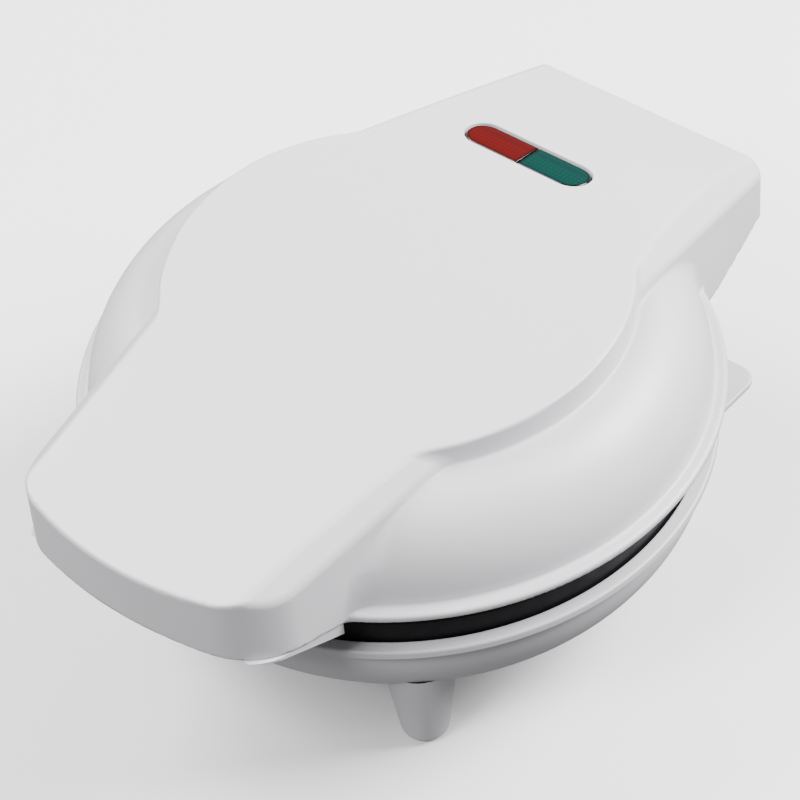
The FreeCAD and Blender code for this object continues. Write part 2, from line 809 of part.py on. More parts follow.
# ---- base shell ----------------------------------------------------------
def bowl(inset):
    """Bowl of the base, or the hollow inside it when inset is the wall."""
    top = V(bowl_top_radius - inset, 0, base_lip_top - lip_height)
    floor = V(bowl_floor_radius, 0, base_floor + inset)
    middle = V(0, 0, base_floor + inset)
    if inset:
        over = V(top.x, 0, base_lip_top + 1)
        edges = [line(middle, floor), quarter(floor, V(top.x, 0, floor.z), top), line(top, over),
                 line(over, V(0, 0, over.z)), line(V(0, 0, over.z), middle)]
    else:
        edges = [line(middle, floor), quarter(floor, V(top.x, 0, floor.z), top),
                 line(top, V(0, 0, top.z)), line(V(0, 0, top.z), middle)]
    return spin(edges)


def corner_tabs():
    """Two flat tabs where the rear of the base's lip is squared off."""
    low = base_lip_top - tab_sheet
    points = [V(tab_half, tab_rear - tab_depth, 0), V(tab_half, tab_rear, 0),
              V(tab_half - tab_depth, tab_rear, 0), V(tab_half - tab_depth, tab_rear - tab_depth, 0)]
    right = lift(rounded(points, [0, tab_corner, 0, 0]), low, base_lip_top)
    return [right, mirror_x(right)]


def hinge_ears():
    """Two upright ears that hold the hinge rod behind the lid's lip."""
    low = base_lip_top - lip_height
    start = hinge_y - ear_foot
    end = base_lip_radius - ear_lip_inset
    seat = V(0, start, low), V(0, end, low)
    axis = V(0, hinge_y, hinge_z)

    def tangent(point, side):
        offset = point - axis
        spread = math.acos(knuckle_radius / offset.Length)
        angle = math.atan2(offset.z, offset.y) + side * spread
        return axis + V(0, math.cos(angle), math.sin(angle)) * knuckle_radius

    front = tangent(seat[0], -1)
    rear = tangent(seat[1], 1)
    top = axis + V(0, 0, knuckle_radius)
    edges = [line(seat[0], front), Part.Arc(front, top, rear).toShape(), line(rear, seat[1]),
             line(seat[1], seat[0])]
    right = Part.Face(Part.Wire(edges)).extrude(V(ear_outer - ear_inner, 0, 0))
    right.translate(V(ear_inner, 0, 0))
    return [right, mirror_x(right)]


def gland_points():
    inner = V(0, gland_reach - gland_inside, gland_height)
    outer = V(0, gland_reach, gland_height)
    return inner, outer


def base_posts():
    """Posts for the plate screws and bosses for the cover screws."""
    outside = bowl(0.0)
    posts = [post(boss_radius, x, y, base_floor, lower_face - plate_web)
             for x, y in around(plate_screw_place, boss_angles)]
    low_part = joined([outside, post(bowl_top_radius - 1, 0, 0, base_lip_top - lip_height - 1, above_all)])
    posts = [p.common(low_part) for p in posts]
    posts += [post(boss_radius, x, y, base_floor, foot_screw_level()).common(outside)
              for x, y in foot_centres()]
    posts += [post(boss_radius, x, y, base_floor + cover_sheet,
                   base_floor + cover_boss_height)
              for x, y in around(cover_screw_place, cover_angles)]
    return posts


def cover_ribs():
    """Spokes that tie the cover's screw bosses to the bowl's floor."""
    ribs = []
    for angle in cover_angles:
        rib = block(cover_screw_place, bowl_floor_radius + rib_past, -rib_width / 2, rib_width / 2,
                    base_floor + cover_sheet, base_floor + rib_height)
        rib.rotate(V(0, 0, 0), V(0, 0, 1), angle)
        ribs.append(rib)
    return ribs


def make_base_shell():
    lip = post(base_lip_radius, 0, 0, base_lip_top - lip_height, base_lip_top)
    inner, outer = gland_points()
    pad = rod(gland_pad, inner, outer)
    solid = joined([lip, bowl(0.0)] + corner_tabs() + hinge_ears() + [pad])
    solid = solid.cut(bowl(wall))
    ear_space = post(dome_radius - wall, 0, 0, base_lip_top, lid_lip)
    solid = solid.cut(ear_space)
    solid = solid.cut(post(cover_radius - cover_ledge, 0, 0, 0, base_floor + wall + 1))
    solid = solid.cut(post(cover_radius + cover_fit, 0, 0, 0, base_floor + cover_sheet / 2))
    solid = joined([solid] + base_posts() + cover_ribs())
    for x, y in around(plate_screw_place, boss_angles):
        solid = solid.cut(post(screw_hole, x, y, lower_face - screw_length - screw_tip_room, above_all))
    for x, y in around(cover_screw_place, cover_angles):
        solid = solid.cut(post(screw_hole, x, y, 0, base_floor + screw_length + screw_tip_room))
    for x, y in foot_centres():
        solid = solid.cut(post(screw_hole, x, y, 0, base_floor + foot_height))
    past = V(0, 2 * gland_past, 0)
    solid = solid.cut(rod(gland_radius, inner - past, outer + past))
    reach = V(rod_half_length, 0, 0)
    axis = V(0, hinge_y, hinge_z)
    return solid.cut(rod(rod_radius, axis - reach, axis + reach))


def make_base_cover():
    """Round plate under the base with rows of cooling slots."""
    low = base_floor
    plate = post(cover_radius, 0, 0, low - cover_sheet / 2, low + cover_sheet / 2)
    inner = post(cover_radius - cover_ledge - cover_fit, 0, 0, low, low + cover_sheet)
    plate = joined([plate, inner])
    for row in range(-slot_rows, slot_rows + 1):
        half = slot_half - abs(row) * slot_step
        front = row * slot_pitch - slot_width / 2
        plate = plate.cut(block(-half, half, front, front + slot_width, 0, above_all))
    for x, y in around(cover_screw_place, cover_angles):
        plate = plate.cut(post(screw_hole, x, y, 0, above_all))
    return plate


# ---- feet ----------------------------------------------------------------
def foot_centres():
    angles = [foot_angle, 180 - foot_angle, 180 + foot_angle, 360 - foot_angle]
    return around(foot_place, angles)


def make_foot(x, y):
    """Tapered foot with a rounded tip, its top shaped to the bowl."""
    top_z = base_floor + foot_height
    share = foot_round / top_z
    edge = foot_tip_radius + (foot_top_radius - foot_tip_radius) * share
    tip = V(foot_tip_radius - foot_round, 0, 0)
    side = V(edge, 0, foot_round)
    top = V(foot_top_radius, 0, top_z)
    edges = [line(V(0, 0, 0), tip), quarter(tip, V(foot_tip_radius, 0, 0), side), line(side, top),
             line(top, V(0, 0, top_z)), line(V(0, 0, top_z), V(0, 0, 0))]
    foot = spin(edges)
    foot.translate(V(x, y, 0))
    foot = foot.cut(bowl(0.0))
    upper_bits = post(base_lip_radius, 0, 0, base_lip_top - lip_height, above_all)
    foot = foot.cut(upper_bits)
    foot = foot.cut(post(screw_hole, x, y, foot_screw_level() - screw_length - foot_hole_room, above_all))
    return max(foot.Solids, key=lambda s: s.Volume)


def foot_screw_level():
    """Height of the bowl's inner surface over a foot."""
    span = bowl_top_radius - bowl_floor_radius
    share = (foot_place - bowl_floor_radius) / span
    depth = base_depth - lip_height
    return base_floor + wall + depth * (1 - math.sqrt(1 - share ** 2)) + foot_boss_height


def make_foot_screws():
    return group([pan_screw(x, y, foot_screw_level(), -1, screw_length) for x, y in foot_centres()])


# ---- hinge rod and mains fittings ----------------------------------------
def make_hinge_rod():
    """Steel rod through the base's ears, turning in the lid's bosses."""
    half = rod_half_length - other_gap
    return rod(rod_radius, V(-half, hinge_y, hinge_z), V(half, hinge_y, hinge_z))


def make_cord_gland():
    """Flanged bush in the cord's way out, with a clear bore."""
    inner, outer = gland_points()
    past = V(0, gland_past, 0)
    bush = rod(gland_radius - gland_fit, inner - past, outer + past)
    flange = rod(gland_radius + gland_flange, outer, outer + V(0, gland_flange, 0))
    bush = joined([bush, flange])
    return bush.cut(rod(gland_bore, inner - past * 2, outer + past * 2))


def make_terminal_block():
    """Three-way ceramic block for the mains wires, standing on the bowl's floor."""
    low = base_floor + wall + block_gap
    front = cover_radius - block_depth / 2
    level = low + wire_hole_height
    body = block(-block_half, block_half, front, front + block_depth, low, low + block_height)
    for x in (-wire_pitch, 0, wire_pitch):
        body = body.cut(rod(wire_hole_radius, V(x, 0, level), V(x, body_radius, level)))
        body = body.cut(post(wire_screw_radius, x, cover_radius, level, above_all))
    return body


def nodes():
    """Every piece by its name."""
    pieces = {"lid_shell": make_lid_shell(), "handle_cover": make_handle_cover()}
    pieces["handle_cover_screws"] = group([pan_screw(x, handle_screw_y, handle_screw_seat(), 1, screw_length)
                                           for x in (-handle_screw_half, handle_screw_half)])
    pieces["red_lens"] = make_lens(-1)
    pieces["green_lens"] = make_lens(1)
    pieces["indicator_housing"] = make_indicator_housing()
    pieces["red_neon_lamp"] = make_lamp(-1)
    pieces["green_neon_lamp"] = make_lamp(1)
    for name, face, up in (("upper", upper_face, 1), ("lower", lower_face, -1)):
        pieces[name + "_cooking_plate"] = make_cooking_plate(face, up)
        pieces[name + "_plate_screws"] = group([plate_screw(x, y, face, up) for x, y in
                                                around(plate_screw_place, boss_angles)])
        pieces[name + "_heating_element"] = make_element(face, up)
        pieces[name + "_element_clamps"] = make_clamps(face, up)
        pieces[name + "_clamp_screws"] = make_clamp_screws(face, up)
        pieces[name + "_heat_shield"] = make_shield(face, up)
    pieces["thermal_fuse"] = make_thermal_fuse()
    pieces["fuse_clip"] = make_fuse_clip()
    pieces["thermostat"] = make_thermostat()
    pieces["base_shell"] = make_base_shell()
    pieces["base_cover"] = make_base_cover()
    cover_seat = base_floor - cover_sheet / 2
    pieces["base_cover_screws"] = group([pan_screw(x, y, cover_seat, 1, screw_length)
                                         for x, y in around(cover_screw_place, cover_angles)])
    names = ["foot_rear_right", "foot_rear_left", "foot_front_left", "foot_front_right"]
    for name, (x, y) in zip(names, foot_centres()):
        pieces[name] = make_foot(x, y)
    pieces["foot_screws"] = make_foot_screws()
    pieces["hinge_rod"] = make_hinge_rod()
    pieces["cord_gland"] = make_cord_gland()
    pieces["terminal_block"] = make_terminal_block()
    return pieces


os.makedirs("parts", exist_ok=True)
for node_name, node_shape in nodes().items():
    node_shape.exportStep("parts/" + node_name + ".step")
    print(node_name, len(node_shape.Solids), round(node_shape.Volume), node_shape.isValid())
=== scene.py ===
import json
import math

import bpy
import numpy as np
from bpy.props import BoolProperty, FloatProperty, FloatVectorProperty, PointerProperty, StringProperty
from bpy.types import Operator, Panel, PropertyGroup
from mathutils import Euler, Matrix, Vector


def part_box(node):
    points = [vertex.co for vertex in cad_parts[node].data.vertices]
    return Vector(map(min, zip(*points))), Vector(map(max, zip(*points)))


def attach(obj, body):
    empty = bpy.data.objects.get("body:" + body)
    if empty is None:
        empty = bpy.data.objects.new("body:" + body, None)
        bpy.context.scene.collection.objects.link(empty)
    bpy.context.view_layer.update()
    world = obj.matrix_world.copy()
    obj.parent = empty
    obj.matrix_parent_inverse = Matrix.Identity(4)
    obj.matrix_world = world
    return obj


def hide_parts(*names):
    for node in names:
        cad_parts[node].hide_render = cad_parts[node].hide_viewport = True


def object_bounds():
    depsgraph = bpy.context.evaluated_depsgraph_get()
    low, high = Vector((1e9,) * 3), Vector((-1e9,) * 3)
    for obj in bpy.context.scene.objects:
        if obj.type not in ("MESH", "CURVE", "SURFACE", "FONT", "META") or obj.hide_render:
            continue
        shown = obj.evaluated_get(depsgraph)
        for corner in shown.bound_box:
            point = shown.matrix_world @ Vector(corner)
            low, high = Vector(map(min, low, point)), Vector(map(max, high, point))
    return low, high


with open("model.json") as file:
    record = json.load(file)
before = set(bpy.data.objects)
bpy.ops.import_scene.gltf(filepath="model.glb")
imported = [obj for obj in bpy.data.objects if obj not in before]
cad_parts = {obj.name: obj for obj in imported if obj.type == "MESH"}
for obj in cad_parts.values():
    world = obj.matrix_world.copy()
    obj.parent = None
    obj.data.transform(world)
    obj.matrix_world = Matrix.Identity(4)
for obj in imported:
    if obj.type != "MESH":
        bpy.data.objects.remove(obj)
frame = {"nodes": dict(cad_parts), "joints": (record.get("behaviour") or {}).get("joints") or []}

bl_info = {
    "name": "Donut maker",
    "version": (1, 0, 0),
    "blender": (4, 5, 0),
    "location": "3D View > Sidebar > Donut maker",
    "description": "Builds the visible pieces and finishes of a round clamshell donut maker",
    "category": "Object",
}

CAD_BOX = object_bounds()
MM = 0.001


# ---- what the frame gives --------------------------------------------------
def low(node, axis):
    """Lowest coordinate of a CAD node along an axis (0, 1, 2), in metres."""
    return float(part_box(node)[0][axis])


def high(node, axis):
    """Highest coordinate of a CAD node along an axis (0, 1, 2), in metres."""
    return float(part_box(node)[1][axis])


def middle(node, axis):
    """Middle of a CAD node along an axis (0, 1, 2), in metres."""
    return (low(node, axis) + high(node, axis)) / 2


HINGE = Vector(frame["joints"][0]["pos_m"])


# ---- settings --------------------------------------------------------------
def size(name, millimetres, text):
    """A length, kept in metres and shown in the scene's units."""
    return FloatProperty(name=name, description=text, default=millimetres * MM,
                         subtype="DISTANCE", unit="LENGTH", precision=5)


def paint(name, code, text):
    """A colour chosen as an sRGB hex code."""
    return StringProperty(name=name, description=text, default=code, maxlen=7)


class LidSizes(PropertyGroup):
    """Sizes of the lid's shell."""
    wall: size("Wall", 2.4, "Moulded wall of both shells")
    reveal: size("Plate edge", 7.4, "Black plate edge that stands out of each shell")
    lip: size("Lip height", 3.0, "Height of the flat lip round each shell")
    dome_radius: size("Dome radius", 94.0, "Where the dome rises from the lip")
    dome_rise: size("Dome rise", 31.5, "Lip's underside to the foot of the raised disc")
    disc_radius: size("Disc radius", 70.4, "Raised disc in the middle of the lid")
    disc_offset: size("Disc offset", 1.8, "How far the disc sits behind the plates' axis")
    crown_line: size("Crown line", 11.4, "Where the crowned top is highest, behind the plates' axis")
    crown_front: size("Front crown", 757.0, "Lengthwise curvature towards the handle")
    crown_rear: size("Rear crown", 318.0, "Lengthwise curvature towards the hinge")
    edge: size("Top edge rounding", 1.0, "Rounding of the raised top's edges")
    lip_edge: size("Lip rounding", 1.2, "Rounding of the lip's edges")
    crease: size("Crease rounding", 1.0, "Hollow rounding where raised parts meet the dome")
    blend: size("Handle blend", 5.0, "Hollow rounding where the handle flows into the dome")
    slot_fit: size("Slot fit", 0.25, "Lens's place to the side of its slot")


class HandleSizes(PropertyGroup):
    """Sizes of the handle and of the hinge housing opposite it."""
    root_half: size("Handle root", 54.6, "Half width where the handle leaves the disc")
    root_y: size("Handle root place", -42.0, "Where along the object that width is measured")
    tip_half: size("Handle tip", 45.0, "Half width at the front edge")
    corner: size("Handle corner", 13.0, "Rounding of the two front corners in plan")
    bow: size("Front bow", 4.0, "How far the front edge bulges")
    bevel: size("Handle bevel", 4.8, "Height of the flat bevel along the handle's sides")
    front_depth: size("Front depth", 15.0, "Height of the front face below its bevel")
    under_start: size("Underside start", -83.0, "Where the underside leaves the lip")
    housing_root: size("Housing root", 58.0, "Half width of the hinge housing at the disc")
    housing_root_y: size("Housing root place", 45.0, "Where along the object that width is measured")
    housing_tip: size("Housing tip", 44.8, "Half width of the hinge housing at its back")
    housing_corner: size("Housing corner", 3.5, "Rounding of the housing's rear corners")
    housing_bevel: size("Housing bevel", 4.2, "Height of the flat bevel along the housing's sides")
    slope_front: size("Housing drop", -7.0, "Lower edge of the housing's cheek, from the lip, at its front")
    slope_front_y: size("Housing drop place", 93.6, "Where along the object that drop is measured")
    knuckle: size("Knuckle radius", 6.0, "Radius of the hinge bosses and of the ears' tops")


class BaseSizes(PropertyGroup):
    """Sizes of the base's bowl."""
    lip_radius: size("Base lip radius", 95.5, "Outer edge of the base's lip")
    bowl_radius: size("Bowl radius", 93.5, "Bowl just under the lip")
    floor_radius: size("Floor radius", 64.0, "Where the bowl's round side meets its flat floor")
    cover_radius: size("Cover radius", 58.0, "Round plate that closes the base from below")
    cover_ledge: size("Cover ledge", 4.0, "Ledge that the cover rests on")
    tab_half: size("Tab half width", 77.0, "Half distance across the two rear corner tabs")
    tab_rear: size("Tab place", 77.5, "Rear edge of the corner tabs")
    tab_sheet: size("Tab thickness", 2.2, "Thickness of the corner tabs")
    tab_corner: size("Tab corner", 6.0, "Rounding of the corner tabs in plan")
    ear_inner: size("Ear inside", 34.0, "Inner face of each hinge ear")
    ear_outer: size("Ear outside", 40.5, "Outer face of each hinge ear")
    tab_depth: size("Tab depth", 30.0, "How far the corner tabs run in under the lip")
    ear_foot: size("Ear foot", 20.0, "Hinge axis to the front of an ear's foot")
    ear_inset: size("Ear inset", 1.5, "Edge of the lip to the back of an ear's foot")
    pad_radius: size("Bush pad", 8.0, "Radius of the round pad that the cord's bush goes through")
    pad_length: size("Pad length", 16.0, "Length of that pad")
    bush_past: size("Bush end", 3.0, "How far the bush stands out of its pad")
    bush_hole: size("Bush hole", 4.6, "Radius of the hole that the bush fills")


class FootSizes(PropertyGroup):
    """Sizes of the four feet."""
    tip_radius: size("Tip radius", 7.0, "Cone's radius at the table")
    top_radius: size("Top radius", 13.0, "Cone's radius at its full height")
    whole_height: size("Full height", 42.0, "Height at which the cone has its top radius")
    tip_round: size("Tip rounding", 2.6, "Rounding of the tip")
    let_in: size("Let in", 0.5, "How far a foot's top goes into the bowl's wall")


class PlateSizes(PropertyGroup):
    """Sizes of the two cooking plates."""
    web: size("Web", 2.5, "Thickness of the flat part")
    rim_wall: size("Rim wall", 2.5, "Thickness of the rim")
    pitch: size("Ring pitch", 57.0, "Plates' axis to the centres of the outer rings")
    ring_radius: size("Ring radius", 16.5, "Centre line of one ring-shaped well")
    well_radius: size("Well radius", 9.5, "Half the thickness of a donut's ring")
    ring_wall: size("Ring wall", 2.0, "Metal behind each well")
    soft_edge: size("Well edge", 1.4, "Rounding where a well meets the flat face")
    screw_place: size("Screw place", 76.0, "Plates' axis to the countersunk screws")
    screw_head: size("Sink radius", 3.4, "Countersink at the cooking face")
    screw_shank: size("Screw hole", 1.7, "Radius of the screw holes")


class Finishes(PropertyGroup):
    """Colours of the object and of the stage."""
    white: paint("White plastic", "#CFCED2", "Moulded shells, handle and feet")
    plate: paint("Non-stick coating", "#100F12", "Both cooking plates")
    red: paint("Red lens", "#5C0606", "Left half of the indicator")
    green: paint("Green lens", "#003A34", "Right half of the indicator")
    rubber: paint("Cord bush", "#D9D8DA", "Soft bush in the cord's way out")
    steel: paint("Bright steel", "#B9B7B3", "Rod, straps and screws")
    floor: paint("Floor", "#F7F6F5", "Pale studio floor")


class StageChoices(PropertyGroup):
    """Camera and light."""
    azimuth: FloatProperty(name="Azimuth", description="Camera's turn round the object", unit="ROTATION",
                           default=math.radians(42.87))
    elevation: FloatProperty(name="Elevation", description="Camera's height angle", unit="ROTATION",
                             default=math.radians(44.53))
    roll: FloatProperty(name="Roll", description="Camera's turn about its own axis", unit="ROTATION",
                        default=math.radians(-5.1))
    distance: FloatProperty(name="Distance", description="Camera to the aim point", unit="LENGTH", default=1.0297)
    aim: FloatVectorProperty(name="Aim", description="Aim point from the object's middle", unit="LENGTH",
                             default=(-0.00275, 0.00168, 0.00315))
    lens: FloatProperty(name="Lens", description="Focal length in millimetres", default=152.4)
    key: FloatProperty(name="Key light", description="Power of the large light behind and to the right",
                       unit="POWER", default=57.0)
    side: FloatProperty(name="Side light", description="Power of the light on the left", unit="POWER",
                        default=30.0)
    front: FloatProperty(name="Front light", description="Power of the weak light beside the camera",
                         unit="POWER", default=27.0)
    sky: FloatProperty(name="Sky", description="Strength of the even light from all round", default=0.3)


GROUPS = {"dm_lid": LidSizes, "dm_handle": HandleSizes, "dm_base": BaseSizes, "dm_foot": FootSizes,
          "dm_plate": PlateSizes, "dm_finish": Finishes, "dm_stage": StageChoices}


# ---- rounded combinations of distance fields -------------------------------
def keep_both(a, b, radius):
    """Inside both fields, with the edge between them rounded to a radius."""
    u = np.maximum(radius + a, 0.0)
    v = np.maximum(radius + b, 0.0)
    return np.minimum(-radius, np.maximum(a, b)) + np.sqrt(u * u + v * v)


def keep_either(a, b, radius):
    """Inside either field, with the hollow between them rounded to a radius."""
    return -keep_both(-a, -b, radius)


def slab(z, bottom, top):
    """Distance to the flat layer between two heights."""
    return np.abs(z - (bottom + top) / 2) - (top - bottom) / 2


def quarter_round(out, up, inner, start, reach, rise):
    """Distance to a solid whose side is a quarter ellipse.

    out is the distance from the axis and up the height. Inside the radius inner the solid is a flat disc; beyond
    it, the ellipse has the half axes reach and rise, and its foot is at the height start. Below start the side is
    upright. The field is the ellipse's implicit value over its gradient, k(k - 1) / |grad k|.
    """
    side = np.maximum(out - inner, 0.0)
    lift = np.maximum(up - start, 0.0)
    k = np.sqrt((side / reach) ** 2 + (lift / rise) ** 2)
    slope = np.sqrt((side / reach ** 2) ** 2 + (lift / rise ** 2) ** 2)
    curved = k * (k - 1) / np.maximum(slope, 1e-9)
    flat = np.maximum(out - inner - reach, up - start - rise)
    return np.where(slope > 1e-6, curved, flat)


def torus(x, y, z, centre, ring, tube):
    """Distance to a ring lying flat about a centre: the gap to its centre line less the tube's radius."""
    across = np.sqrt((x - centre[0]) ** 2 + (y - centre[1]) ** 2) - ring
    return np.sqrt(across ** 2 + (z - centre[2]) ** 2) - tube


# ---- surfaces from fields --------------------------------------------------
CORNERS = np.array([(i, j, k) for i in (0, 1) for j in (0, 1) for k in (0, 1)])
CELL_EDGES = [(a, b) for a in range(8) for b in range(a + 1, 8) if np.abs(CORNERS[a] - CORNERS[b]).sum() == 1]


def gradient(field, points):
    """Slope of a field at scattered points, by differences over a hundredth of a millimetre each way."""
    step = 0.01 * MM
    parts = []
    for axis in range(3):
        shift = np.zeros(3)
        shift[axis] = step
        ahead = points + shift
        behind = points - shift
        parts.append(field(*ahead.T) - field(*behind.T))
    return np.stack(parts, axis=-1) / (2 * step)


def skin(field, lowest, highest, cell):
    """Net of quads where a field is zero, with the outward normals.

    One vertex per grid cell that the surface crosses, first at the mean of the crossings on the cell's edges and
    then slid down the field's gradient until it lies on the surface. One quad per grid edge that changes sign.
    """
    axes = [np.arange(a - 2 * cell, b + 2 * cell, cell) for a, b in zip(lowest, highest)]
    grid = np.meshgrid(*axes, indexing="ij", sparse=True)
    value = field(*grid)
    inside = value < 0
    whole = np.array(inside.shape) - 1
    count = sum(inside[i:i + whole[0], j:j + whole[1], k:k + whole[2]].astype(np.int8) for i, j, k in CORNERS)
    cells = np.argwhere((count > 0) & (count < 8))
    number = np.full(tuple(whole), -1, np.int64)
    number[tuple(cells.T)] = np.arange(len(cells))
    at = [value[tuple((cells + c).T)] for c in CORNERS]
    total = np.zeros((len(cells), 3))
    hits = np.zeros(len(cells))
    for a, b in CELL_EDGES:
        crossed = (at[a] < 0) != (at[b] < 0)
        share = np.where(crossed, at[a] / np.where(crossed, at[a] - at[b], 1.0), 0.0)
        total += crossed[:, None] * (CORNERS[a] + share[:, None] * (CORNERS[b] - CORNERS[a]))
        hits += crossed
    points = np.array([a[0] for a in axes]) + cell * (cells + total / hits[:, None])
    quads = []
    for axis in range(3):
        b, c = (axis + 1) % 3, (axis + 2) % 3
        first = [slice(None)] * 3
        second = [slice(None)] * 3
        first[axis] = slice(None, -1)
        second[axis] = slice(1, None)
        for k in (b, c):
            first[k] = second[k] = slice(1, -1)
        here = inside[tuple(first)]
        change = np.argwhere(here != inside[tuple(second)])
        leaving = here[tuple(change.T)]
        change[:, b] += 1
        change[:, c] += 1
        back_b = np.eye(3, dtype=int)[b]
        back_c = np.eye(3, dtype=int)[c]
        loop = [number[tuple((change - s * back_b - t * back_c).T)] for s, t in ((1, 1), (0, 1), (0, 0), (1, 0))]
        loop = np.stack(loop, axis=-1)
        quads.append(np.where(leaving[:, None], loop, loop[:, ::-1]))
    for _ in range(4):
        slope = gradient(field, points)
        step = field(*points.T)[:, None] * slope / np.maximum((slope ** 2).sum(-1, keepdims=True), 0.05)
        length = np.linalg.norm(step, axis=-1, keepdims=True)
        points = points - step * np.minimum(1.0, 0.5 * cell / np.maximum(length, 1e-12))
    slope = gradient(field, points)
    normals = slope / np.maximum(np.linalg.norm(slope, axis=-1, keepdims=True), 1e-9)
    return points, np.concatenate(quads), normals


def sweep(profile, turns):
    """Closed ring of a surface: an outline of (radius, height) pairs turned about the Z axis.

    Point (i, j) is radius i at the angle 2 pi j / turns and height i, and the last row joins the first. Each row's
    normal is the mean of the normals of the two segments beside it, weighted by their lengths, so that flats stay
    flat beside a rounded corner.
    """
    rows = np.asarray(profile, float)
    count = len(rows)
    along = np.diff(np.concatenate([rows[-1:], rows, rows[:1]]), axis=0)
    across = np.stack([along[:, 1], -along[:, 0]], axis=-1)
    facing = across[:-1] + across[1:]
    facing /= np.maximum(np.linalg.norm(facing, axis=-1, keepdims=True), 1e-12)
    angle = np.linspace(0, 2 * np.pi, turns, endpoint=False)

    def turned(pairs):
        """The pairs' places round the axis, row by row."""
        up = np.repeat(pairs[:, 1:], turns, axis=1)
        return np.stack([pairs[:, :1] * np.cos(angle), pairs[:, :1] * np.sin(angle), up], axis=-1).reshape(-1, 3)

    i, j = np.meshgrid(np.arange(count), np.arange(turns), indexing="ij")
    beside = (j + 1) % turns
    above = (i + 1) % count
    quads = np.stack([i * turns + j, i * turns + beside, above * turns + beside, above * turns + j], axis=-1)
    return turned(rows), quads.reshape(-1, 4), turned(facing)


def quarter_ellipse(start, corner, end, steps):
    """Points of a quarter ellipse from start to end; corner is where the two end tangents meet."""
    start, corner, end = (np.asarray(p, float) for p in (start, corner, end))
    t = np.linspace(0, np.pi / 2, steps)[:, None]
    centre = start + end - corner
    return centre + (start - centre) * np.cos(t) + (end - centre) * np.sin(t)


def place_piece(name, points, quads, normals, body, material, node):
    """Make an object of a net of faces, with its place in its mesh, which stands for a CAD node and rides a body."""
    mesh = bpy.data.meshes.new(name)
    mesh.from_pydata(points.tolist(), [], quads.tolist())
    mesh.update()
    piece = bpy.data.objects.new(name, mesh)
    bpy.context.scene.collection.objects.link(piece)
    mesh.polygons.foreach_set("use_smooth", np.ones(len(mesh.polygons), bool))
    mesh.normals_split_custom_set_from_vertices(normals.tolist())
    mesh.materials.append(material)
    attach(piece, body)
    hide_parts(node)
    return piece


def rounded_profile(corners, steps=6):
    """Outline through (radius, height, rounding) corners, each turned into an arc of its own size.

    An arc is a quadratic curve between the places where it leaves the two sides, which is close to round. A
    corner with no rounding is kept as it is.
    """
    corners = np.asarray(corners, float)
    points = corners[:, :2]
    out = []
    for i, here in enumerate(points):
        size_here = corners[i, 2]
        before = points[i - 1]
        after = points[(i + 1) % len(points)]
        if size_here <= 0:
            out.append(here)
            continue
        a = here + (before - here) / np.linalg.norm(before - here) * size_here
        b = here + (after - here) / np.linalg.norm(after - here) * size_here
        t = np.linspace(0, 1, steps)[:, None]
        out.extend((1 - t) ** 2 * a + 2 * t * (1 - t) * here + t ** 2 * b)
    return np.array(out)


# ---- materials -------------------------------------------------------------
def srgb(code):
    """Linear RGBA from an sRGB hex code."""
    channels = [int(code[i:i + 2], 16) / 255 for i in (1, 3, 5)]
    return [c / 12.92 if c <= 0.04045 else ((c + 0.055) / 1.055) ** 2.4 for c in channels] + [1.0]


def add_node(tree, kind, settings=None, links=None, **inputs):
    """Add a node: settings are its properties, inputs its socket values, links its incoming sockets."""
    made = tree.nodes.new(kind)
    for key, value in (settings or {}).items():
        setattr(made, key, value)
    for key, value in inputs.items():
        made.inputs[key.replace("_", " ")].default_value = value
    for key, source in (links or {}).items():
        tree.links.new(source, made.inputs[key])
    return made


def start_material(name):
    """New material with its shader and output, and Object coordinates to draw patterns on."""
    made = bpy.data.materials.new(name)
    made.use_nodes = True
    tree = made.node_tree
    tree.nodes.clear()
    shader = add_node(tree, "ShaderNodeBsdfPrincipled")
    add_node(tree, "ShaderNodeOutputMaterial", links={"Surface": shader.outputs[0]})
    place = add_node(tree, "ShaderNodeTexCoord").outputs["Object"]
    return made, tree, shader, place


def per_metre(millimetres):
    """Texture scale that gives features of a size."""
    return 1.0 / (millimetres * MM)


def vary_colour(tree, shader, source, dark, light, low_end=0.3, high_end=0.7):
    """Drive the base colour from a pattern between two hex colours."""
    ramp = add_node(tree, "ShaderNodeValToRGB", links={"Fac": source})
    ramp.color_ramp.elements[0].position = low_end
    ramp.color_ramp.elements[1].position = high_end
    ramp.color_ramp.elements[0].color = srgb(dark)
    ramp.color_ramp.elements[1].color = srgb(light)
    tree.links.new(ramp.outputs["Color"], shader.inputs["Base Color"])
    return ramp


def vary_roughness(tree, shader, source, smooth, rough):
    """Drive the roughness from a pattern between two values."""
    spread = add_node(tree, "ShaderNodeMapRange", links={"Value": source},
                      From_Min=0.3, From_Max=0.7, To_Min=smooth, To_Max=rough)
    tree.links.new(spread.outputs["Result"], shader.inputs["Roughness"])


def add_bump(tree, shader, source, height_mm, strength=1.0):
    """Raise the surface by a pattern, to a height in millimetres."""
    bump = add_node(tree, "ShaderNodeBump", links={"Height": source}, Distance=height_mm * MM, Strength=strength)
    tree.links.new(bump.outputs["Normal"], shader.inputs["Normal"])


def shade(code, factor):
    """Hex colour made lighter or darker by a factor."""
    channels = [min(255, max(0, round(int(code[i:i + 2], 16) * factor))) for i in (1, 3, 5)]
    return "#%02X%02X%02X" % tuple(channels)


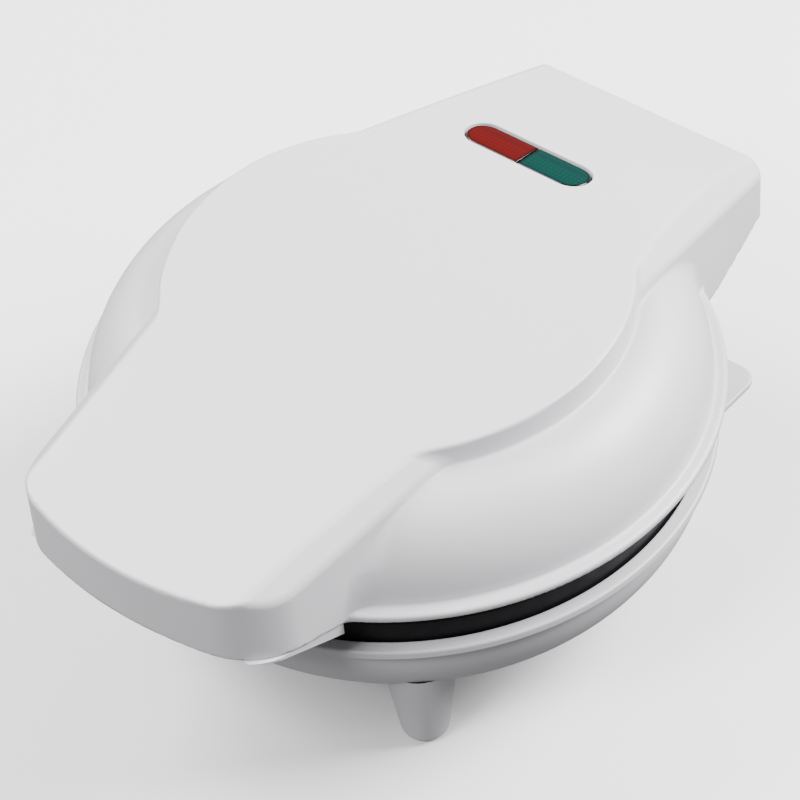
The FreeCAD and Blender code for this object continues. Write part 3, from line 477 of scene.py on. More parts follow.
def white_plastic(name, code, grain_mm=0.55):
    """Polypropylene, injection moulded in a lightly spark-eroded tool.

    It gives a soft broad sheen with no sharp reflection, light that sinks in a little, and a faint cloudiness.
    The erosion is about 0.05 mm across, too fine to show, so it is drawn at half a millimetre.
    """
    made, tree, shader, place = start_material(name)
    cloud = add_node(tree, "ShaderNodeTexNoise", links={"Vector": place}, Scale=per_metre(38), Detail=3.0)
    vary_colour(tree, shader, cloud.outputs["Fac"], shade(code, 0.985), code)
    smear = add_node(tree, "ShaderNodeTexNoise", links={"Vector": place}, Scale=per_metre(14), Detail=4.0)
    vary_roughness(tree, shader, smear.outputs["Fac"], 0.34, 0.42)
    grain = add_node(tree, "ShaderNodeTexNoise", links={"Vector": place}, Scale=per_metre(grain_mm), Detail=2.0)
    add_bump(tree, shader, grain.outputs["Fac"], 0.012, 0.5)
    shader.inputs["IOR"].default_value = 1.49
    shader.inputs["Subsurface Weight"].default_value = 0.12
    shader.inputs["Subsurface Radius"].default_value = (1.0, 0.95, 0.9)
    shader.inputs["Subsurface Scale"].default_value = 1.2 * MM
    return made


def nonstick(name, code):
    """Sprayed and baked fluoropolymer on die-cast aluminium.

    It gives a near-black satin film with a faint orange peel and tiny pale specks.
    """
    made, tree, shader, place = start_material(name)
    specks = add_node(tree, "ShaderNodeTexVoronoi", links={"Vector": place}, Scale=per_metre(1.6))
    vary_colour(tree, shader, specks.outputs["Distance"], shade(code, 2.1), code, 0.05, 0.12)
    film = add_node(tree, "ShaderNodeTexNoise", links={"Vector": place}, Scale=per_metre(9), Detail=3.0)
    vary_roughness(tree, shader, film.outputs["Fac"], 0.42, 0.58)
    shader.inputs["Specular IOR Level"].default_value = 0.3
    peel = add_node(tree, "ShaderNodeTexNoise", links={"Vector": place}, Scale=per_metre(0.9), Detail=2.0)
    add_bump(tree, shader, peel.outputs["Fac"], 0.03, 0.6)
    shader.inputs["IOR"].default_value = 1.4
    return made


def tinted_lens(name, code):
    """Transparent coloured acrylic, moulded with fine pyramids on its back.

    The pyramids scatter the light and make a fine chequered glow. The last millimetre at the rim has none behind
    it, so it looks darker; the attribute "edge" runs from 0 at the rim to 1 inside it.
    """
    made, tree, shader, place = start_material(name)
    facets = add_node(tree, "ShaderNodeTexVoronoi", {"feature": "F1", "distance": "CHEBYCHEV"},
                      {"Vector": place}, Scale=per_metre(1.5), Randomness=0.0)
    deep = vary_colour(tree, shader, facets.outputs["Distance"], shade(code, 1.05), shade(code, 0.5), 0.0, 0.8)
    # Painted shade: the "edge" attribute mixes the rim towards a dark copy of the lens colour, standing for the slot
    # wall's shadow.
    edge = add_node(tree, "ShaderNodeAttribute", {"attribute_name": "edge"})
    painted_rim_shade = add_node(tree, "ShaderNodeMixRGB", links={"Fac": edge.outputs["Fac"], "Color2": deep.outputs["Color"]},
                   Color1=srgb(shade(code, 0.3)))
    tree.links.new(painted_rim_shade.outputs["Color"], shader.inputs["Base Color"])
    add_bump(tree, shader, facets.outputs["Distance"], 0.12, 0.25)
    shader.inputs["Roughness"].default_value = 0.12
    shader.inputs["IOR"].default_value = 1.49
    shader.inputs["Transmission Weight"].default_value = 0.15
    return made


def bright_metal(name, code, rough=0.28, scratch_mm=0.4, along=(1.0, 1.0, 12.0)):
    """Drawn or rolled steel, or aluminium sheet, as it leaves the mill.

    It gives a soft reflection streaked along the way it was worked.
    """
    made, tree, shader, place = start_material(name)
    stretch = add_node(tree, "ShaderNodeMapping", links={"Vector": place}, Scale=along)
    streak = add_node(tree, "ShaderNodeTexNoise", links={"Vector": stretch.outputs[0]},
                      Scale=per_metre(scratch_mm * 4), Detail=4.0)
    vary_colour(tree, shader, streak.outputs["Fac"], shade(code, 0.86), code)
    vary_roughness(tree, shader, streak.outputs["Fac"], rough, rough + 0.14)
    add_bump(tree, shader, streak.outputs["Fac"], 0.01, 0.4)
    shader.inputs["Metallic"].default_value = 1.0
    return made


def soft_rubber(name, code):
    """Moulded soft PVC: dull, slightly dusty, with a fine leathery grain."""
    made, tree, shader, place = start_material(name)
    dust = add_node(tree, "ShaderNodeTexNoise", links={"Vector": place}, Scale=per_metre(4), Detail=5.0)
    vary_colour(tree, shader, dust.outputs["Fac"], shade(code, 0.9), code)
    vary_roughness(tree, shader, dust.outputs["Fac"], 0.55, 0.7)
    grain = add_node(tree, "ShaderNodeTexVoronoi", links={"Vector": place}, Scale=per_metre(0.7))
    add_bump(tree, shader, grain.outputs["Distance"], 0.03, 0.5)
    shader.inputs["IOR"].default_value = 1.5
    return made


def dull_moulding(name, code, rough=0.55):
    """Pressed phenolic, steatite or woven sleeve: matt, with a speckled body."""
    made, tree, shader, place = start_material(name)
    speck = add_node(tree, "ShaderNodeTexNoise", links={"Vector": place}, Scale=per_metre(1.2), Detail=5.0)
    vary_colour(tree, shader, speck.outputs["Fac"], shade(code, 0.85), code)
    vary_roughness(tree, shader, speck.outputs["Fac"], rough, rough + 0.15)
    add_bump(tree, shader, speck.outputs["Fac"], 0.02, 0.5)
    return made


def lamp_glass(name):
    """Thin drawn soda glass of a small neon lamp."""
    made, tree, shader, place = start_material(name)
    ripple = add_node(tree, "ShaderNodeTexNoise", links={"Vector": place}, Scale=per_metre(3))
    vary_colour(tree, shader, ripple.outputs["Fac"], "#F4E9DE", "#FFFFFF")
    shader.inputs["Roughness"].default_value = 0.03
    shader.inputs["IOR"].default_value = 1.52
    shader.inputs["Transmission Weight"].default_value = 0.9
    return made


# ---- the lid ---------------------------------------------------------------
class LidShape:
    """Distance fields of the lid, from the settings and the frame."""

    def __init__(self, scene):
        self.s = scene.dm_lid
        self.h = scene.dm_handle
        self.radius = high("lid_shell", 0)
        self.front = low("lid_shell", 1)
        self.rear = high("lid_shell", 1)
        self.top = high("lid_shell", 2)
        self.lip_low = low("upper_cooking_plate", 2) + self.s.reveal
        self.lip_high = self.lip_low + self.s.lip
        self.disc_foot = self.lip_low + self.s.dome_rise

    def crown_height(self, y):
        """Height of the crowned top: two arcs that meet level on the crown line."""
        radius = self.s.crown_front if y < self.s.crown_line else self.s.crown_rear
        return self.top - radius + math.sqrt(radius ** 2 - (y - self.s.crown_line) ** 2)

    def under_top(self, y, z, inset=0.0):
        """Distance to everything under the crowned top, less an inset."""
        radius = np.where(y < self.s.crown_line, self.s.crown_front, self.s.crown_rear)
        centre = self.top - radius
        return np.sqrt((y - self.s.crown_line) ** 2 + (z - centre) ** 2) - radius + inset

    def half_width(self, y, housing):
        """Half width of the handle, or of the housing, at a place along it."""
        h = self.h
        if housing:
            share = (y - h.housing_root_y) / (self.rear - h.housing_root_y)
            return h.housing_root + (h.housing_tip - h.housing_root) * share
        share = (h.root_y - y) / (h.root_y - self.front)
        return h.root_half + (h.tip_half - h.root_half) * share

    def side(self, x, y, housing):
        """Distance beyond the straight tapering sides."""
        step = 0.001
        taper = (self.half_width(step, housing) - self.half_width(0.0, housing)) / step
        return (np.abs(x) - self.half_width(y, housing)) / math.sqrt(1 + taper ** 2)

    def bevel(self, x, y, z, housing, inset=0.0):
        """Distance beyond the flat bevel, whose lower edge runs straight along the side."""
        h = self.h
        width = h.housing_bevel if housing else h.bevel
        near_y = h.housing_root_y if housing else h.root_y
        far_y = self.rear if housing else self.front
        near = Vector((self.half_width(near_y, housing), near_y, self.crown_height(near_y) - width))
        far = Vector((self.half_width(far_y, housing), far_y, self.crown_height(far_y) - width))
        normal = (far - near).cross(Vector((-1, 0, 1))).normalized()
        if normal.z < 0:
            normal = -normal
        return (np.abs(x) - near.x) * normal.x + (y - near.y) * normal.y + (z - near.z) * normal.z + inset

    def handle_plan(self, x, y, inset=0.0):
        """Distance beyond the handle in plan: tapering sides, bowed front and round corners."""
        h = self.h
        flat = h.tip_half - h.corner * 1.1
        bow_radius = (flat ** 2 + h.bow ** 2) / (2 * h.bow)
        front = np.sqrt(x ** 2 + (y - self.front - bow_radius) ** 2) - bow_radius
        front = np.where(y < 0, front, -bow_radius)
        return np.maximum(keep_both(self.side(x, y, False), front, h.corner), y) + inset

    def housing_plan(self, x, y, inset=0.0):
        """Distance beyond the hinge housing in plan."""
        return np.maximum(keep_both(self.side(x, y, True), y - self.rear, self.h.housing_corner), -y) + inset

    def above_underside(self, y, z):
        """Distance under the handle's sloping underside, which starts at the lip and rises towards the front."""
        front_z = self.crown_height(self.front) - self.h.bevel - self.h.front_depth
        rise = (front_z - self.lip_low) / (self.front - self.h.under_start)
        line = self.lip_low + rise * np.minimum(y - self.h.under_start, 0.0)
        return (line - z) / math.sqrt(1 + rise ** 2)

    def above_slope(self, y, z):
        """Distance under the slanted lower edge of the hinge housing."""
        rise = -self.h.slope_front / (self.rear - self.h.slope_front_y)
        line = self.lip_low + self.h.slope_front + rise * np.maximum(y - self.h.slope_front_y, 0.0)
        return (line - z) / math.sqrt(1 + rise ** 2)

    def dome(self, x, y, z, inset=0.0):
        """Dome above the lip, or the hollow in it."""
        out = np.sqrt(x ** 2 + y ** 2)
        s = self.s
        return quarter_round(out, z, s.disc_radius - inset, self.lip_high, s.dome_radius - s.disc_radius,
                             self.disc_foot - self.lip_high - inset)

    def lip(self, x, y, z):
        out = np.sqrt(x ** 2 + y ** 2)
        return keep_both(out - self.radius, slab(z, self.lip_low, self.lip_high), self.s.lip_edge)

    def disc(self, x, y, z, inset=0.0):
        """Distance beyond the raised disc's upright wall, which starts at its foot."""
        out = np.sqrt(x ** 2 + (y - self.s.disc_offset) ** 2) - self.s.disc_radius + inset
        return np.maximum(out, self.disc_foot - 2 * MM - inset - z)

    def handle(self, x, y, z, inset=0.0):
        """Handle's sides: its plan and its side bevels, with the edges between them rounded."""
        return keep_both(self.handle_plan(x, y, inset), self.bevel(x, y, z, False, inset * 1.2),
                         self.s.edge * 1.2)

    def housing(self, x, y, z, inset=0.0):
        """Hinge housing's sides, in the same way."""
        return keep_both(self.housing_plan(x, y, inset), self.bevel(x, y, z, True, inset * 1.2), self.s.edge)

    def raised(self, x, y, z):
        """Everything that stands up from the dome: three outlines joined, then cut off by one crowned top."""
        edge = self.s.edge
        handle = keep_both(self.handle(x, y, z), self.above_underside(y, z), edge)
        housing = keep_both(self.housing(x, y, z), self.above_slope(y, z), edge * 0.6)
        shape = keep_either(self.disc(x, y, z), handle, self.s.crease * 1.5)
        shape = keep_either(shape, housing, self.s.crease)
        return keep_both(shape, self.under_top(y, z), edge)

    def lens_frame(self, x, y, z):
        """Coordinates across, along and out of the crowned top at the lens."""
        tilt = math.asin((middle("red_lens", 1) - self.s.crown_line) / self.s.crown_rear)
        centre = self.lens_centre()
        dy = y - centre.y
        dz = z - centre.z
        return (x - centre.x, dy * math.cos(tilt) - dz * math.sin(tilt),
                dy * math.sin(tilt) + dz * math.cos(tilt))

    def lens_centre(self):
        """Middle of the lens on the crowned top."""
        x = (low("red_lens", 0) + high("green_lens", 0)) / 2
        tilt = math.asin((middle("red_lens", 1) - self.s.crown_line) / self.s.crown_rear)
        y = middle("red_lens", 1) + 2.2 * MM * math.sin(tilt)
        return Vector((x, y, self.crown_height(y)))

    def lens_hole(self, x, y, z, grow):
        """Distance beyond the round-ended slot that the lens sits in."""
        across, along, out = self.lens_frame(x, y, z)
        length = high("green_lens", 0) - low("red_lens", 0)
        width = self.lens_width()
        straight = np.maximum(np.abs(across) - (length - width) / 2, 0.0)
        return np.sqrt(straight ** 2 + along ** 2) - width / 2 - grow

    def lens_width(self):
        """Width of the lens across its slope."""
        tilt = math.asin((middle("red_lens", 1) - self.s.crown_line) / self.s.crown_rear)
        depth = high("red_lens", 1) - low("red_lens", 1)
        return (depth - 5.5 * MM * math.sin(tilt)) / math.cos(tilt)

    def knuckles(self, x, y, z):
        """Bosses inside the housing's cheeks."""
        round_bar = np.sqrt((y - HINGE.y) ** 2 + (z - HINGE.z) ** 2) - self.h.knuckle
        inner = bpy.context.scene.dm_base.ear_outer + 0.6 * MM
        return np.maximum(round_bar, inner - np.abs(x))

    def field(self, x, y, z):
        """The whole lid: outer shape less its hollows.

        The hollow rounding at the foot of the raised parts is small by the disc and grows down the dome.
        """
        s = self.s
        out = np.sqrt(x ** 2 + y ** 2)
        dome = np.maximum(self.dome(x, y, z), self.lip_low - z)
        depth = np.clip((self.disc_foot - 1 * MM - z) / (14 * MM), 0.0, 1.0)
        blend = s.crease + (s.blend - s.crease) * depth * np.where(y < 0, 1.0, 0.5)
        shape = keep_either(dome, self.raised(x, y, z), blend)
        shape = keep_either(shape, self.lip(x, y, z), s.crease)
        shape = np.maximum(shape, np.minimum(self.lip_low - z, self.radius - out))
        wall = s.wall
        hollow = np.minimum(self.dome(x, y, z, wall), np.maximum(out - s.dome_radius + wall, z - self.lip_high))
        roof = self.under_top(y, z, wall)
        hollow = np.minimum(hollow, np.maximum(self.disc(x, y, z, wall), roof))
        keep_dome = -np.minimum(dome, self.lip(x, y, z))
        pocket = np.maximum(np.maximum(self.housing(x, y, z, wall), roof), keep_dome)
        grip = np.maximum(np.maximum(self.handle(x, y, z, wall), roof), keep_dome)
        shape = keep_both(shape, -np.minimum(hollow, np.minimum(pocket, grip)), 0.4 * MM)
        bosses = np.maximum(self.knuckles(x, y, z), self.housing(x, y, z, 0.5 * MM))
        shape = keep_either(shape, bosses, 0.8 * MM)
        shape = np.maximum(shape, -self.rod_hole(x, y, z))
        up = self.lens_frame(x, y, z)[2]
        return np.maximum(shape, -np.maximum(self.lens_hole(x, y, z, s.slot_fit + 1 * MM), -up - 12 * MM))

    def slot_rim(self, x, y, z):
        """Ring of the lid's top round the lens's slot, drawn on a finer grid than the rest.

        Its face is 0.02 mm over the lid's at the slot and goes down by 0.01 mm for each millimetre outwards, so it
        covers the coarser edge of the lid and ends under the lid's face.
        """
        width = 5 * MM
        rounding = 0.35 * MM
        beyond = self.lens_hole(x, y, z, self.s.slot_fit)
        face = self.under_top(y, z) - 0.02 * MM + 0.01 * beyond
        ring = np.maximum(beyond - width, -self.lens_frame(x, y, z)[2] - self.s.wall)
        return keep_both(np.maximum(face, ring), -beyond, rounding)

    def rod_hole(self, x, y, z):
        """Bore for the hinge rod."""
        rod = (high("hinge_rod", 2) - low("hinge_rod", 2)) / 2
        bore = np.sqrt((y - HINGE.y) ** 2 + (z - HINGE.z) ** 2) - rod - 0.05 * MM
        return np.maximum(bore, np.abs(x) - high("hinge_rod", 0) - 0.3 * MM)


def shell_plastic():
    """The white plastic that all moulded pieces share."""
    return bpy.data.materials.get("moulded_white_pp") or white_plastic(
        "moulded_white_pp", bpy.context.scene.dm_finish.white)


class DM_OT_lid(Operator):
    """Build the lid's moulded shell"""
    bl_idname = "donut_maker.lid"
    bl_label = "Lid shell"

    def execute(self, context):
        lid = LidShape(context.scene)
        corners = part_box("lid_shell")
        points, quads, normals = skin(lid.field, corners[0], corners[1], 1.05 * MM)
        place_piece("lid_skin", points, quads, normals, "lid", shell_plastic(), "lid_shell")
        room = Vector((6 * MM, 6 * MM, 3 * MM))
        lowest = Vector((low("red_lens", 0), low("red_lens", 1), low("red_lens", 2))) - room
        highest = Vector((high("green_lens", 0), high("red_lens", 1), high("red_lens", 2))) + room
        points, quads, normals = skin(lid.slot_rim, lowest, highest, 0.3 * MM)
        place_piece("lid_slot_rim", points, quads, normals, "lid", shell_plastic(), "lid_shell")
        return {"FINISHED"}


# ---- the base --------------------------------------------------------------
class BaseShape:
    """Outline and distance fields of the base, from the settings and the frame."""

    def __init__(self, scene):
        self.s = scene.dm_base
        self.lid = scene.dm_lid
        self.h = scene.dm_handle
        self.floor = low("base_shell", 2)
        self.lip_high = high("lower_cooking_plate", 2) - self.lid.reveal
        self.lip_low = self.lip_high - self.lid.lip

    def outline(self):
        """Closed outline of the turned part: floor, bowl, lip, and back down the inside to the cover's rebate."""
        s = self.s
        wall = self.lid.wall
        floor, under, top = self.floor, self.lip_low, self.lip_high
        rebate = s.cover_radius + 0.4 * MM
        ledge = s.cover_radius - s.cover_ledge
        inner = s.bowl_radius - wall
        bowl = quarter_ellipse((s.floor_radius, floor), (s.bowl_radius, floor), (s.bowl_radius, under), 40)
        inside = quarter_ellipse((inner, under), (inner, floor + wall), (s.floor_radius, floor + wall), 24)
        soft = 0.5 * MM
        corners = [(rebate, floor, soft)]
        corners += [(r, z, 0) for r, z in bowl[:-1]]
        corners += [(s.bowl_radius, under, 0.4 * MM), (s.lip_radius, under, soft), (s.lip_radius, top, 0.9 * MM),
                    (inner, top, 0.7 * MM)]
        corners += [(r, z, 0) for r, z in inside]
        corners += [(ledge, floor + wall, soft), (ledge, floor + wall / 2, soft), (rebate, floor + wall / 2, 0)]
        return rounded_profile(corners)

    def bowl(self, x, y, z):
        """Bowl's outer surface, as a field."""
        out = np.sqrt(x ** 2 + y ** 2)
        s = self.s
        return quarter_round(out, -z, s.floor_radius, -self.lip_low, s.bowl_radius - s.floor_radius,
                             self.lip_low - self.floor)

    def tabs(self, x, y, z):
        """Flat corners at the back of the lip, a hair under its top so that the two don't share a face."""
        s = self.s
        plan = keep_both(np.abs(x) - s.tab_half, y - s.tab_rear, s.tab_corner)
        plan = np.maximum(plan, s.tab_rear - s.tab_depth - y)
        plan = np.maximum(plan, s.tab_half - s.tab_depth - np.abs(x))
        return keep_both(plan, slab(z, self.lip_high - s.tab_sheet, self.lip_high - 0.05 * MM), 0.5 * MM)

    def ears(self, x, y, z):
        """Two upright ears: a round top on the hinge axis, with sides tangent to it down to the lip."""
        radius = self.h.knuckle
        dy = y - HINGE.y
        dz = z - HINGE.z
        shape = np.sqrt(dy ** 2 + dz ** 2) - radius
        flanks = []
        for foot_y, turn in ((HINGE.y - self.s.ear_foot, -1), (self.s.lip_radius - self.s.ear_inset, 1)):
            foot = Vector((foot_y - HINGE.y, self.lip_low - HINGE.z))
            angle = math.atan2(foot.y, foot.x) + turn * math.acos(radius / foot.length)
            flanks.append(dy * math.cos(angle) + dz * math.sin(angle) - radius)
        stem = np.maximum(np.maximum(flanks[0], flanks[1]), np.maximum(self.lip_low - z, dz))
        shape = np.minimum(shape, stem)
        middle_x = (self.s.ear_inner + self.s.ear_outer) / 2
        half = (self.s.ear_outer - self.s.ear_inner) / 2
        return keep_both(shape, np.abs(np.abs(x) - middle_x) - half, 0.7 * MM)

    def bar(self, x, y, z, radius, start, end):
        """Round bar along Y at the cord bush."""
        side = np.sqrt(x ** 2 + (z - middle("cord_gland", 2)) ** 2) - radius
        return keep_both(side, slab(y, start, end), 0.8 * MM)

    def fittings(self, x, y, z):
        """Tabs, ears and the bush's pad, with a soft foot where they leave the bowl and its lip."""
        s = self.s
        out = np.sqrt(x ** 2 + y ** 2)
        sunk = 0.05 * MM
        lip = keep_both(out - s.lip_radius + sunk, slab(z, self.lip_low + sunk, self.lip_high - sunk), 0.9 * MM)
        parts = keep_either(self.tabs(x, y, z), self.ears(x, y, z), 1.0 * MM)
        shape = np.maximum(keep_either(lip, parts, 1.2 * MM), parts - 3 * MM)
        end = high("cord_gland", 1) - s.bush_past
        start = end - s.pad_length
        pad = keep_either(self.bowl(x, y, z) + sunk, self.bar(x, y, z, s.pad_radius, start, end), 2.0 * MM)
        near = self.bar(x, y, z, 1.5 * s.pad_radius, start, end + 1 * MM)
        shape = np.minimum(shape, np.maximum(pad, np.maximum(near, start - y)))
        shape = np.maximum(shape, -self.bar(x, y, z, s.bush_hole, start - s.pad_length, end + s.pad_length))
        room = np.maximum(out - s.bowl_radius + self.lid.wall, self.lip_low - z)
        rod = (high("hinge_rod", 2) - low("hinge_rod", 2)) / 2
        bore = np.sqrt((y - HINGE.y) ** 2 + (z - HINGE.z) ** 2) - rod
        return np.maximum(shape, -np.minimum(room, bore))


class DM_OT_base(Operator):
    """Build the base's moulded shell with its tabs, hinge ears and bush pad"""
    bl_idname = "donut_maker.base"
    bl_label = "Base shell"

    def execute(self, context):
        base = BaseShape(context.scene)
        points, quads, normals = sweep(base.outline(), 300)
        place_piece("base_bowl", points, quads, normals, "base", shell_plastic(), "base_shell")
        room = 2 * MM
        beneath = middle("cord_gland", 2) - base.s.pad_radius - 3 * room
        lowest = (-base.s.tab_half, base.s.tab_rear - base.s.tab_depth - room, beneath)
        highest = (base.s.tab_half, HINGE.y + base.h.knuckle, HINGE.z + base.h.knuckle)
        points, quads, normals = skin(base.fittings, lowest, highest, 0.7 * MM)
        place_piece("base_fittings", points, quads, normals, "base", shell_plastic(), "base_shell")
        return {"FINISHED"}


# ---- feet ------------------------------------------------------------------
class DM_OT_feet(Operator):
    """Build the four tapered feet"""
    bl_idname = "donut_maker.feet"
    bl_label = "Feet"

    def execute(self, context):
        s = context.scene.dm_foot
        base = BaseShape(context.scene)
        taper = (s.top_radius - s.tip_radius) / s.whole_height
        for node in ("foot_front_left", "foot_front_right", "foot_rear_left", "foot_rear_right"):
            cx, cy = middle(node, 0), middle(node, 1)

            def field(x, y, z):
                """Cone with a rounded tip, let into the bowl that it stands under."""
                out = np.sqrt((x - cx) ** 2 + (y - cy) ** 2)
                side = (out - s.tip_radius - taper * z) / math.sqrt(1 + taper ** 2)
                return keep_both(keep_both(side, -z, s.tip_round), -base.bowl(x, y, z) - s.let_in, 0.3 * MM)

            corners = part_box(node)
            points, quads, normals = skin(field, corners[0], corners[1], 0.55 * MM)
            place_piece(node + "_skin", points, quads, normals, "base", shell_plastic(), node)
        return {"FINISHED"}


# ---- cooking plates --------------------------------------------------------
class DM_OT_plates(Operator):
    """Build the two cooking plates with their ring-shaped wells"""
    bl_idname = "donut_maker.plates"
    bl_label = "Cooking plates"

    def execute(self, context):
        s = context.scene.dm_plate
        coating = nonstick("baked_nonstick", context.scene.dm_finish.plate)
        angles = np.radians(np.arange(0, 360, 60))
        centres = [(0.0, 0.0)] + [(s.pitch * math.cos(a), s.pitch * math.sin(a)) for a in angles]
        for node, body, up in (("upper_cooking_plate", "lid", 1), ("lower_cooking_plate", "base", -1)):
            face = low(node, 2) if up > 0 else high(node, 2)
            radius = high(node, 0)
            depth = high(node, 2) - low(node, 2)

            def field(x, y, z):
                """Rim and web, with a tube-shaped back and a smooth well at every ring."""
                away = (z - face) * up
                out = np.sqrt(x ** 2 + y ** 2)
                edge = keep_both(out - radius, slab(away, 0.0, depth), 0.7 * MM)
                under = np.maximum(out - radius + s.rim_wall, s.web - away)
                shape = keep_both(edge, -under, 0.4 * MM)
                wells = None
                for cx, cy in centres:
                    ring = torus(x, y, away, (cx, cy, 0.0), s.ring_radius, s.well_radius)
                    wells = ring if wells is None else np.minimum(wells, ring)
                backs = np.maximum(wells - s.ring_wall, -away)
                shape = keep_both(np.minimum(shape, backs), -wells, s.soft_edge)
                for turn in np.radians((30, 150, 270)):
                    bx, by = s.screw_place * math.cos(turn), s.screw_place * math.sin(turn)
                    gap = np.sqrt((x - bx) ** 2 + (y - by) ** 2)
                    cone = (gap - s.screw_head + 0.8 * away) / 1.28
                    shape = np.maximum(shape, -np.minimum(cone, gap - s.screw_shank))
                return shape

            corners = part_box(node)
            points, quads, normals = skin(field, corners[0], corners[1], 1.0 * MM)
            name = node.replace("cooking_plate", "plate_casting")
            place_piece(name, points, quads, normals, body, coating, node)
        return {"FINISHED"}


# ---- indicator -------------------------------------------------------------
class DM_OT_lenses(Operator):
    """Build the two halves of the indicator lens"""
    bl_idname = "donut_maker.lenses"
    bl_label = "Indicator lens"

    def execute(self, context):
        lid = LidShape(context.scene)
        finish = context.scene.dm_finish
        inset = 0.45 * MM       # rim of the lens to the nominal edge of its slot
        dark = 0.4 * MM         # rim painted fully dark, as painted shade of the slot's wall
        fade = 0.6 * MM         # from there to the full glow
        for node, code, sign in (("red_lens", finish.red, -1), ("green_lens", finish.green, 1)):
            split = low("green_lens", 0) - high("red_lens", 0)
            seam = (low("green_lens", 0) + high("red_lens", 0)) / 2

            def field(x, y, z):
                """Round-ended bar cut at the seam, its face slightly pillowed and its rim rounded."""
                across, along, up = lid.lens_frame(x, y, z)
                side = lid.lens_hole(x, y, z, -inset)
                pillow = 0.25 * MM * (1 - (along / (6.3 * MM)) ** 2) - 0.6 * MM
                body = keep_both(side, up - pillow, 0.5 * MM)
                body = keep_both(body, split / 2 - sign * (x - seam), 0.3 * MM)
                return np.maximum(body, -up - 4.8 * MM)

            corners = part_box(node)
            points, quads, normals = skin(field, corners[0], corners[1], 0.32 * MM)
            material = tinted_lens(node.replace("lens", "acrylic"), code)
            piece = place_piece(node + "_skin", points, quads, normals, "lid", material, node)
            x, y, z = points.T
            # Painted shade at the lens's rim: "edge" is 0 over the outer 0.4 mm and rises to 1 over the next 0.6 mm.
            depth = -np.maximum(lid.lens_hole(x, y, z, -inset), split / 2 - sign * (x - seam))
            edge = piece.data.attributes.new("edge", "FLOAT", "POINT")
            edge.data.foreach_set("value", np.clip((depth - dark) / fade, 0.0, 1.0))
        return {"FINISHED"}


# ---- small parts that keep their CAD shape ---------------------------------
CAD_FINISHES = {
    "handle_cover": "white", "base_cover": "white",
    "handle_cover_screws": "zinc", "upper_plate_screws": "zinc", "lower_plate_screws": "zinc",
    "upper_clamp_screws": "zinc", "lower_clamp_screws": "zinc", "base_cover_screws": "zinc", "foot_screws": "zinc",
    "hinge_rod": "rod", "upper_element_clamps": "strip", "lower_element_clamps": "strip", "fuse_clip": "strip",
    "upper_heating_element": "tube", "lower_heating_element": "tube",
    "upper_heat_shield": "sheet", "lower_heat_shield": "sheet",
    "indicator_housing": "tray", "red_neon_lamp": "glass", "green_neon_lamp": "glass",
    "thermostat": "phenolic", "thermal_fuse": "sleeve", "terminal_block": "ceramic", "cord_gland": "bush",
}


class DM_OT_details(Operator):
    """Give the small parts that keep their CAD shape their real finishes"""
    bl_idname = "donut_maker.details"
    bl_label = "Small parts"

    def execute(self, context):
        finish = context.scene.dm_finish
        makers = {
            "white": shell_plastic(),
            "zinc": bright_metal("zinc_plated_steel", "#A9AAB0", 0.25, 0.3),
            "rod": bright_metal("drawn_steel_rod", finish.steel, 0.22, 0.2, (30.0, 1.0, 1.0)),
            "strip": bright_metal("rolled_steel_strip", finish.steel, 0.3, 0.3, (1.0, 6.0, 1.0)),
            "tube": bright_metal("heat_tinted_steel_tube", "#6E655E", 0.4, 0.5),
            "sheet": bright_metal("rolled_aluminium_sheet", "#C9CBCE", 0.3, 0.5, (1.0, 14.0, 1.0)),
            "tray": dull_moulding("natural_nylon", "#E6E2D8", 0.45),
            "glass": lamp_glass("soda_glass"),
            "phenolic": dull_moulding("pressed_phenolic", "#2B2420", 0.4),
            "sleeve": dull_moulding("woven_glass_sleeve", "#DAD3C4", 0.7),
            "ceramic": dull_moulding("steatite", "#E8E3D6", 0.35),
            "bush": soft_rubber("moulded_soft_pvc", finish.rubber),
        }
        for node, kind in CAD_FINISHES.items():
            piece = frame["nodes"][node]
            piece.data.materials.clear()
            piece.data.materials.append(makers[kind])
            weld = piece.modifiers.new("Weld", "WELD")
            weld.merge_threshold = 0.005 * MM
            bevel = piece.modifiers.new("Bevel", "BEVEL")
            bevel.width = 0.25 * MM
            bevel.segments = 2
            bevel.limit_method = "ANGLE"
            bevel.angle_limit = math.radians(40)
            bevel.harden_normals = True
        return {"FINISHED"}


# ---- stage -----------------------------------------------------------------
def add_lamp(name, power, width, place, target):
    """Large soft square light that faces a point."""
    lamp = bpy.data.lights.new(name, "AREA")
    lamp.shape = "SQUARE"
    lamp.size = width
    lamp.energy = power
    made = bpy.data.objects.new(name, lamp)
    made.location = place
    made.rotation_euler = (Vector(target) - Vector(place)).to_track_quat("-Z", "Y").to_euler()
    bpy.context.scene.collection.objects.link(made)


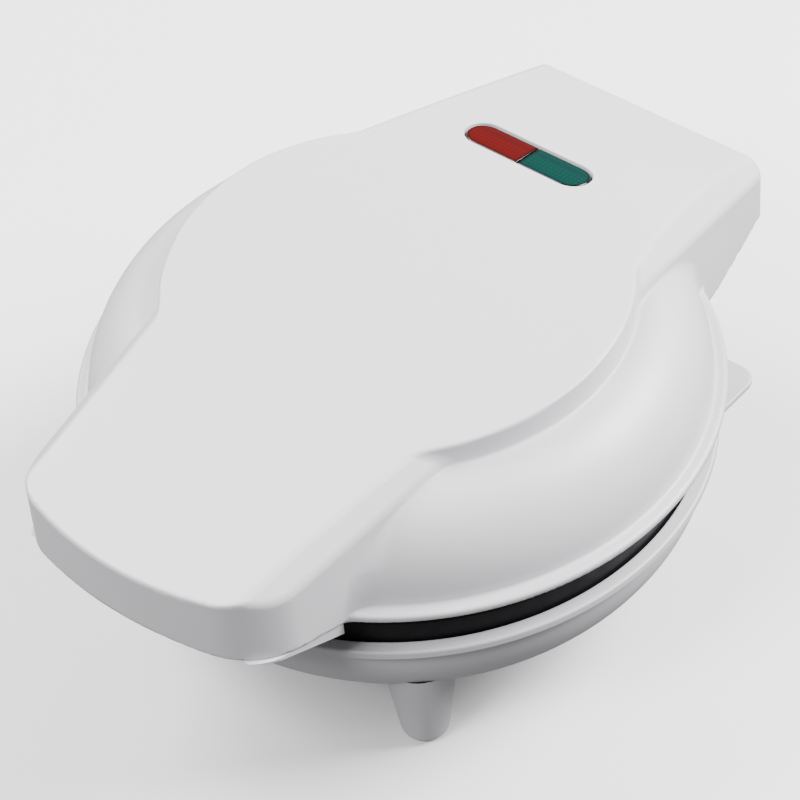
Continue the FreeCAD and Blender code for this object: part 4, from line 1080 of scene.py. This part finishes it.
class DM_OT_stage(Operator):
    """Set up the floor, the lights and the camera"""
    bl_idname = "donut_maker.stage"
    bl_label = "Stage"

    def execute(self, context):
        scene = context.scene
        stage = scene.dm_stage
        heart = (Vector(CAD_BOX[0]) + Vector(CAD_BOX[1])) / 2
        half = 4.0
        points = np.array([(-half, -half, 0), (half, -half, 0), (half, half, 0), (-half, half, 0)])
        mesh = bpy.data.meshes.new("floor")
        mesh.from_pydata((points + [0, 0, -0.0002]).tolist(), [], [(0, 1, 2, 3)])
        floor = bpy.data.objects.new("floor", mesh)
        scene.collection.objects.link(floor)
        made, tree, shader, place = start_material("painted_studio_floor")
        cloud = add_node(tree, "ShaderNodeTexNoise", links={"Vector": place}, Scale=per_metre(400))
        vary_colour(tree, shader, cloud.outputs["Fac"], shade(scene.dm_finish.floor, 0.99), scene.dm_finish.floor)
        shader.inputs["Roughness"].default_value = 0.7
        mesh.materials.append(made)
        floor.visible_diffuse = False    # as when black cards keep the floor's light off the object
        floor.visible_glossy = False
        add_lamp("key", stage.key, 0.7, heart + Vector((0.62, 0.72, 0.8)), heart)
        add_lamp("side", stage.side, 0.8, heart + Vector((-0.9, -0.05, 0.95)), heart)
        add_lamp("front", stage.front, 0.6, heart + Vector((-0.1, -1.1, 1.3)), heart)
        world = bpy.data.worlds.new("studio")
        world.use_nodes = True
        scene.world = world
        world.node_tree.nodes["Background"].inputs["Color"].default_value = srgb("#FFFFFF")
        world.node_tree.nodes["Background"].inputs["Strength"].default_value = stage.sky
        camera = bpy.data.cameras.new("camera")
        camera.lens = stage.lens
        camera.clip_end = 20.0
        made = bpy.data.objects.new("camera", camera)
        scene.collection.objects.link(made)
        a, e = stage.azimuth, stage.elevation
        out = Vector((math.sin(a) * math.cos(e), -math.cos(a) * math.cos(e), math.sin(e)))
        aim = heart + Vector(stage.aim)
        turn = Euler((math.pi / 2 - e, 0.0, a)).to_matrix() @ Matrix.Rotation(stage.roll, 3, "Z")
        made.matrix_world = Matrix.Translation(aim + out * stage.distance) @ turn.to_4x4()
        scene.camera = made
        return {"FINISHED"}


# ---- panel and registration ------------------------------------------------
OPERATORS = (DM_OT_lid, DM_OT_base, DM_OT_feet, DM_OT_plates, DM_OT_lenses, DM_OT_details, DM_OT_stage)


class DM_PT_panel(Panel):
    """Lists the pieces and their settings"""
    bl_idname = "DM_PT_panel"
    bl_label = "Donut maker"
    bl_space_type = "VIEW_3D"
    bl_region_type = "UI"
    bl_category = "Donut maker"

    def draw(self, context):
        for operator in OPERATORS:
            self.layout.operator(operator.bl_idname)
        for key, group in GROUPS.items():
            column = self.layout.column(heading=group.__doc__)
            for setting in group.__annotations__:
                column.prop(getattr(context.scene, key), setting)


CLASSES = tuple(GROUPS.values()) + OPERATORS + (DM_PT_panel,)


def register():
    """Register the classes and hang each group of settings on the scene."""
    for item in CLASSES:
        bpy.utils.register_class(item)
    for key, group in GROUPS.items():
        setattr(bpy.types.Scene, key, PointerProperty(type=group))


def unregister():
    """Take the settings and the classes away again."""
    for key in GROUPS:
        delattr(bpy.types.Scene, key)
    for item in reversed(CLASSES):
        bpy.utils.unregister_class(item)


def main():
    register()
    bpy.ops.donut_maker.stage()
    bpy.ops.donut_maker.lid()
    bpy.ops.donut_maker.base()
    bpy.ops.donut_maker.feet()
    bpy.ops.donut_maker.plates()
    bpy.ops.donut_maker.lenses()
    bpy.ops.donut_maker.details()


if __name__ == "__main__":
    main()
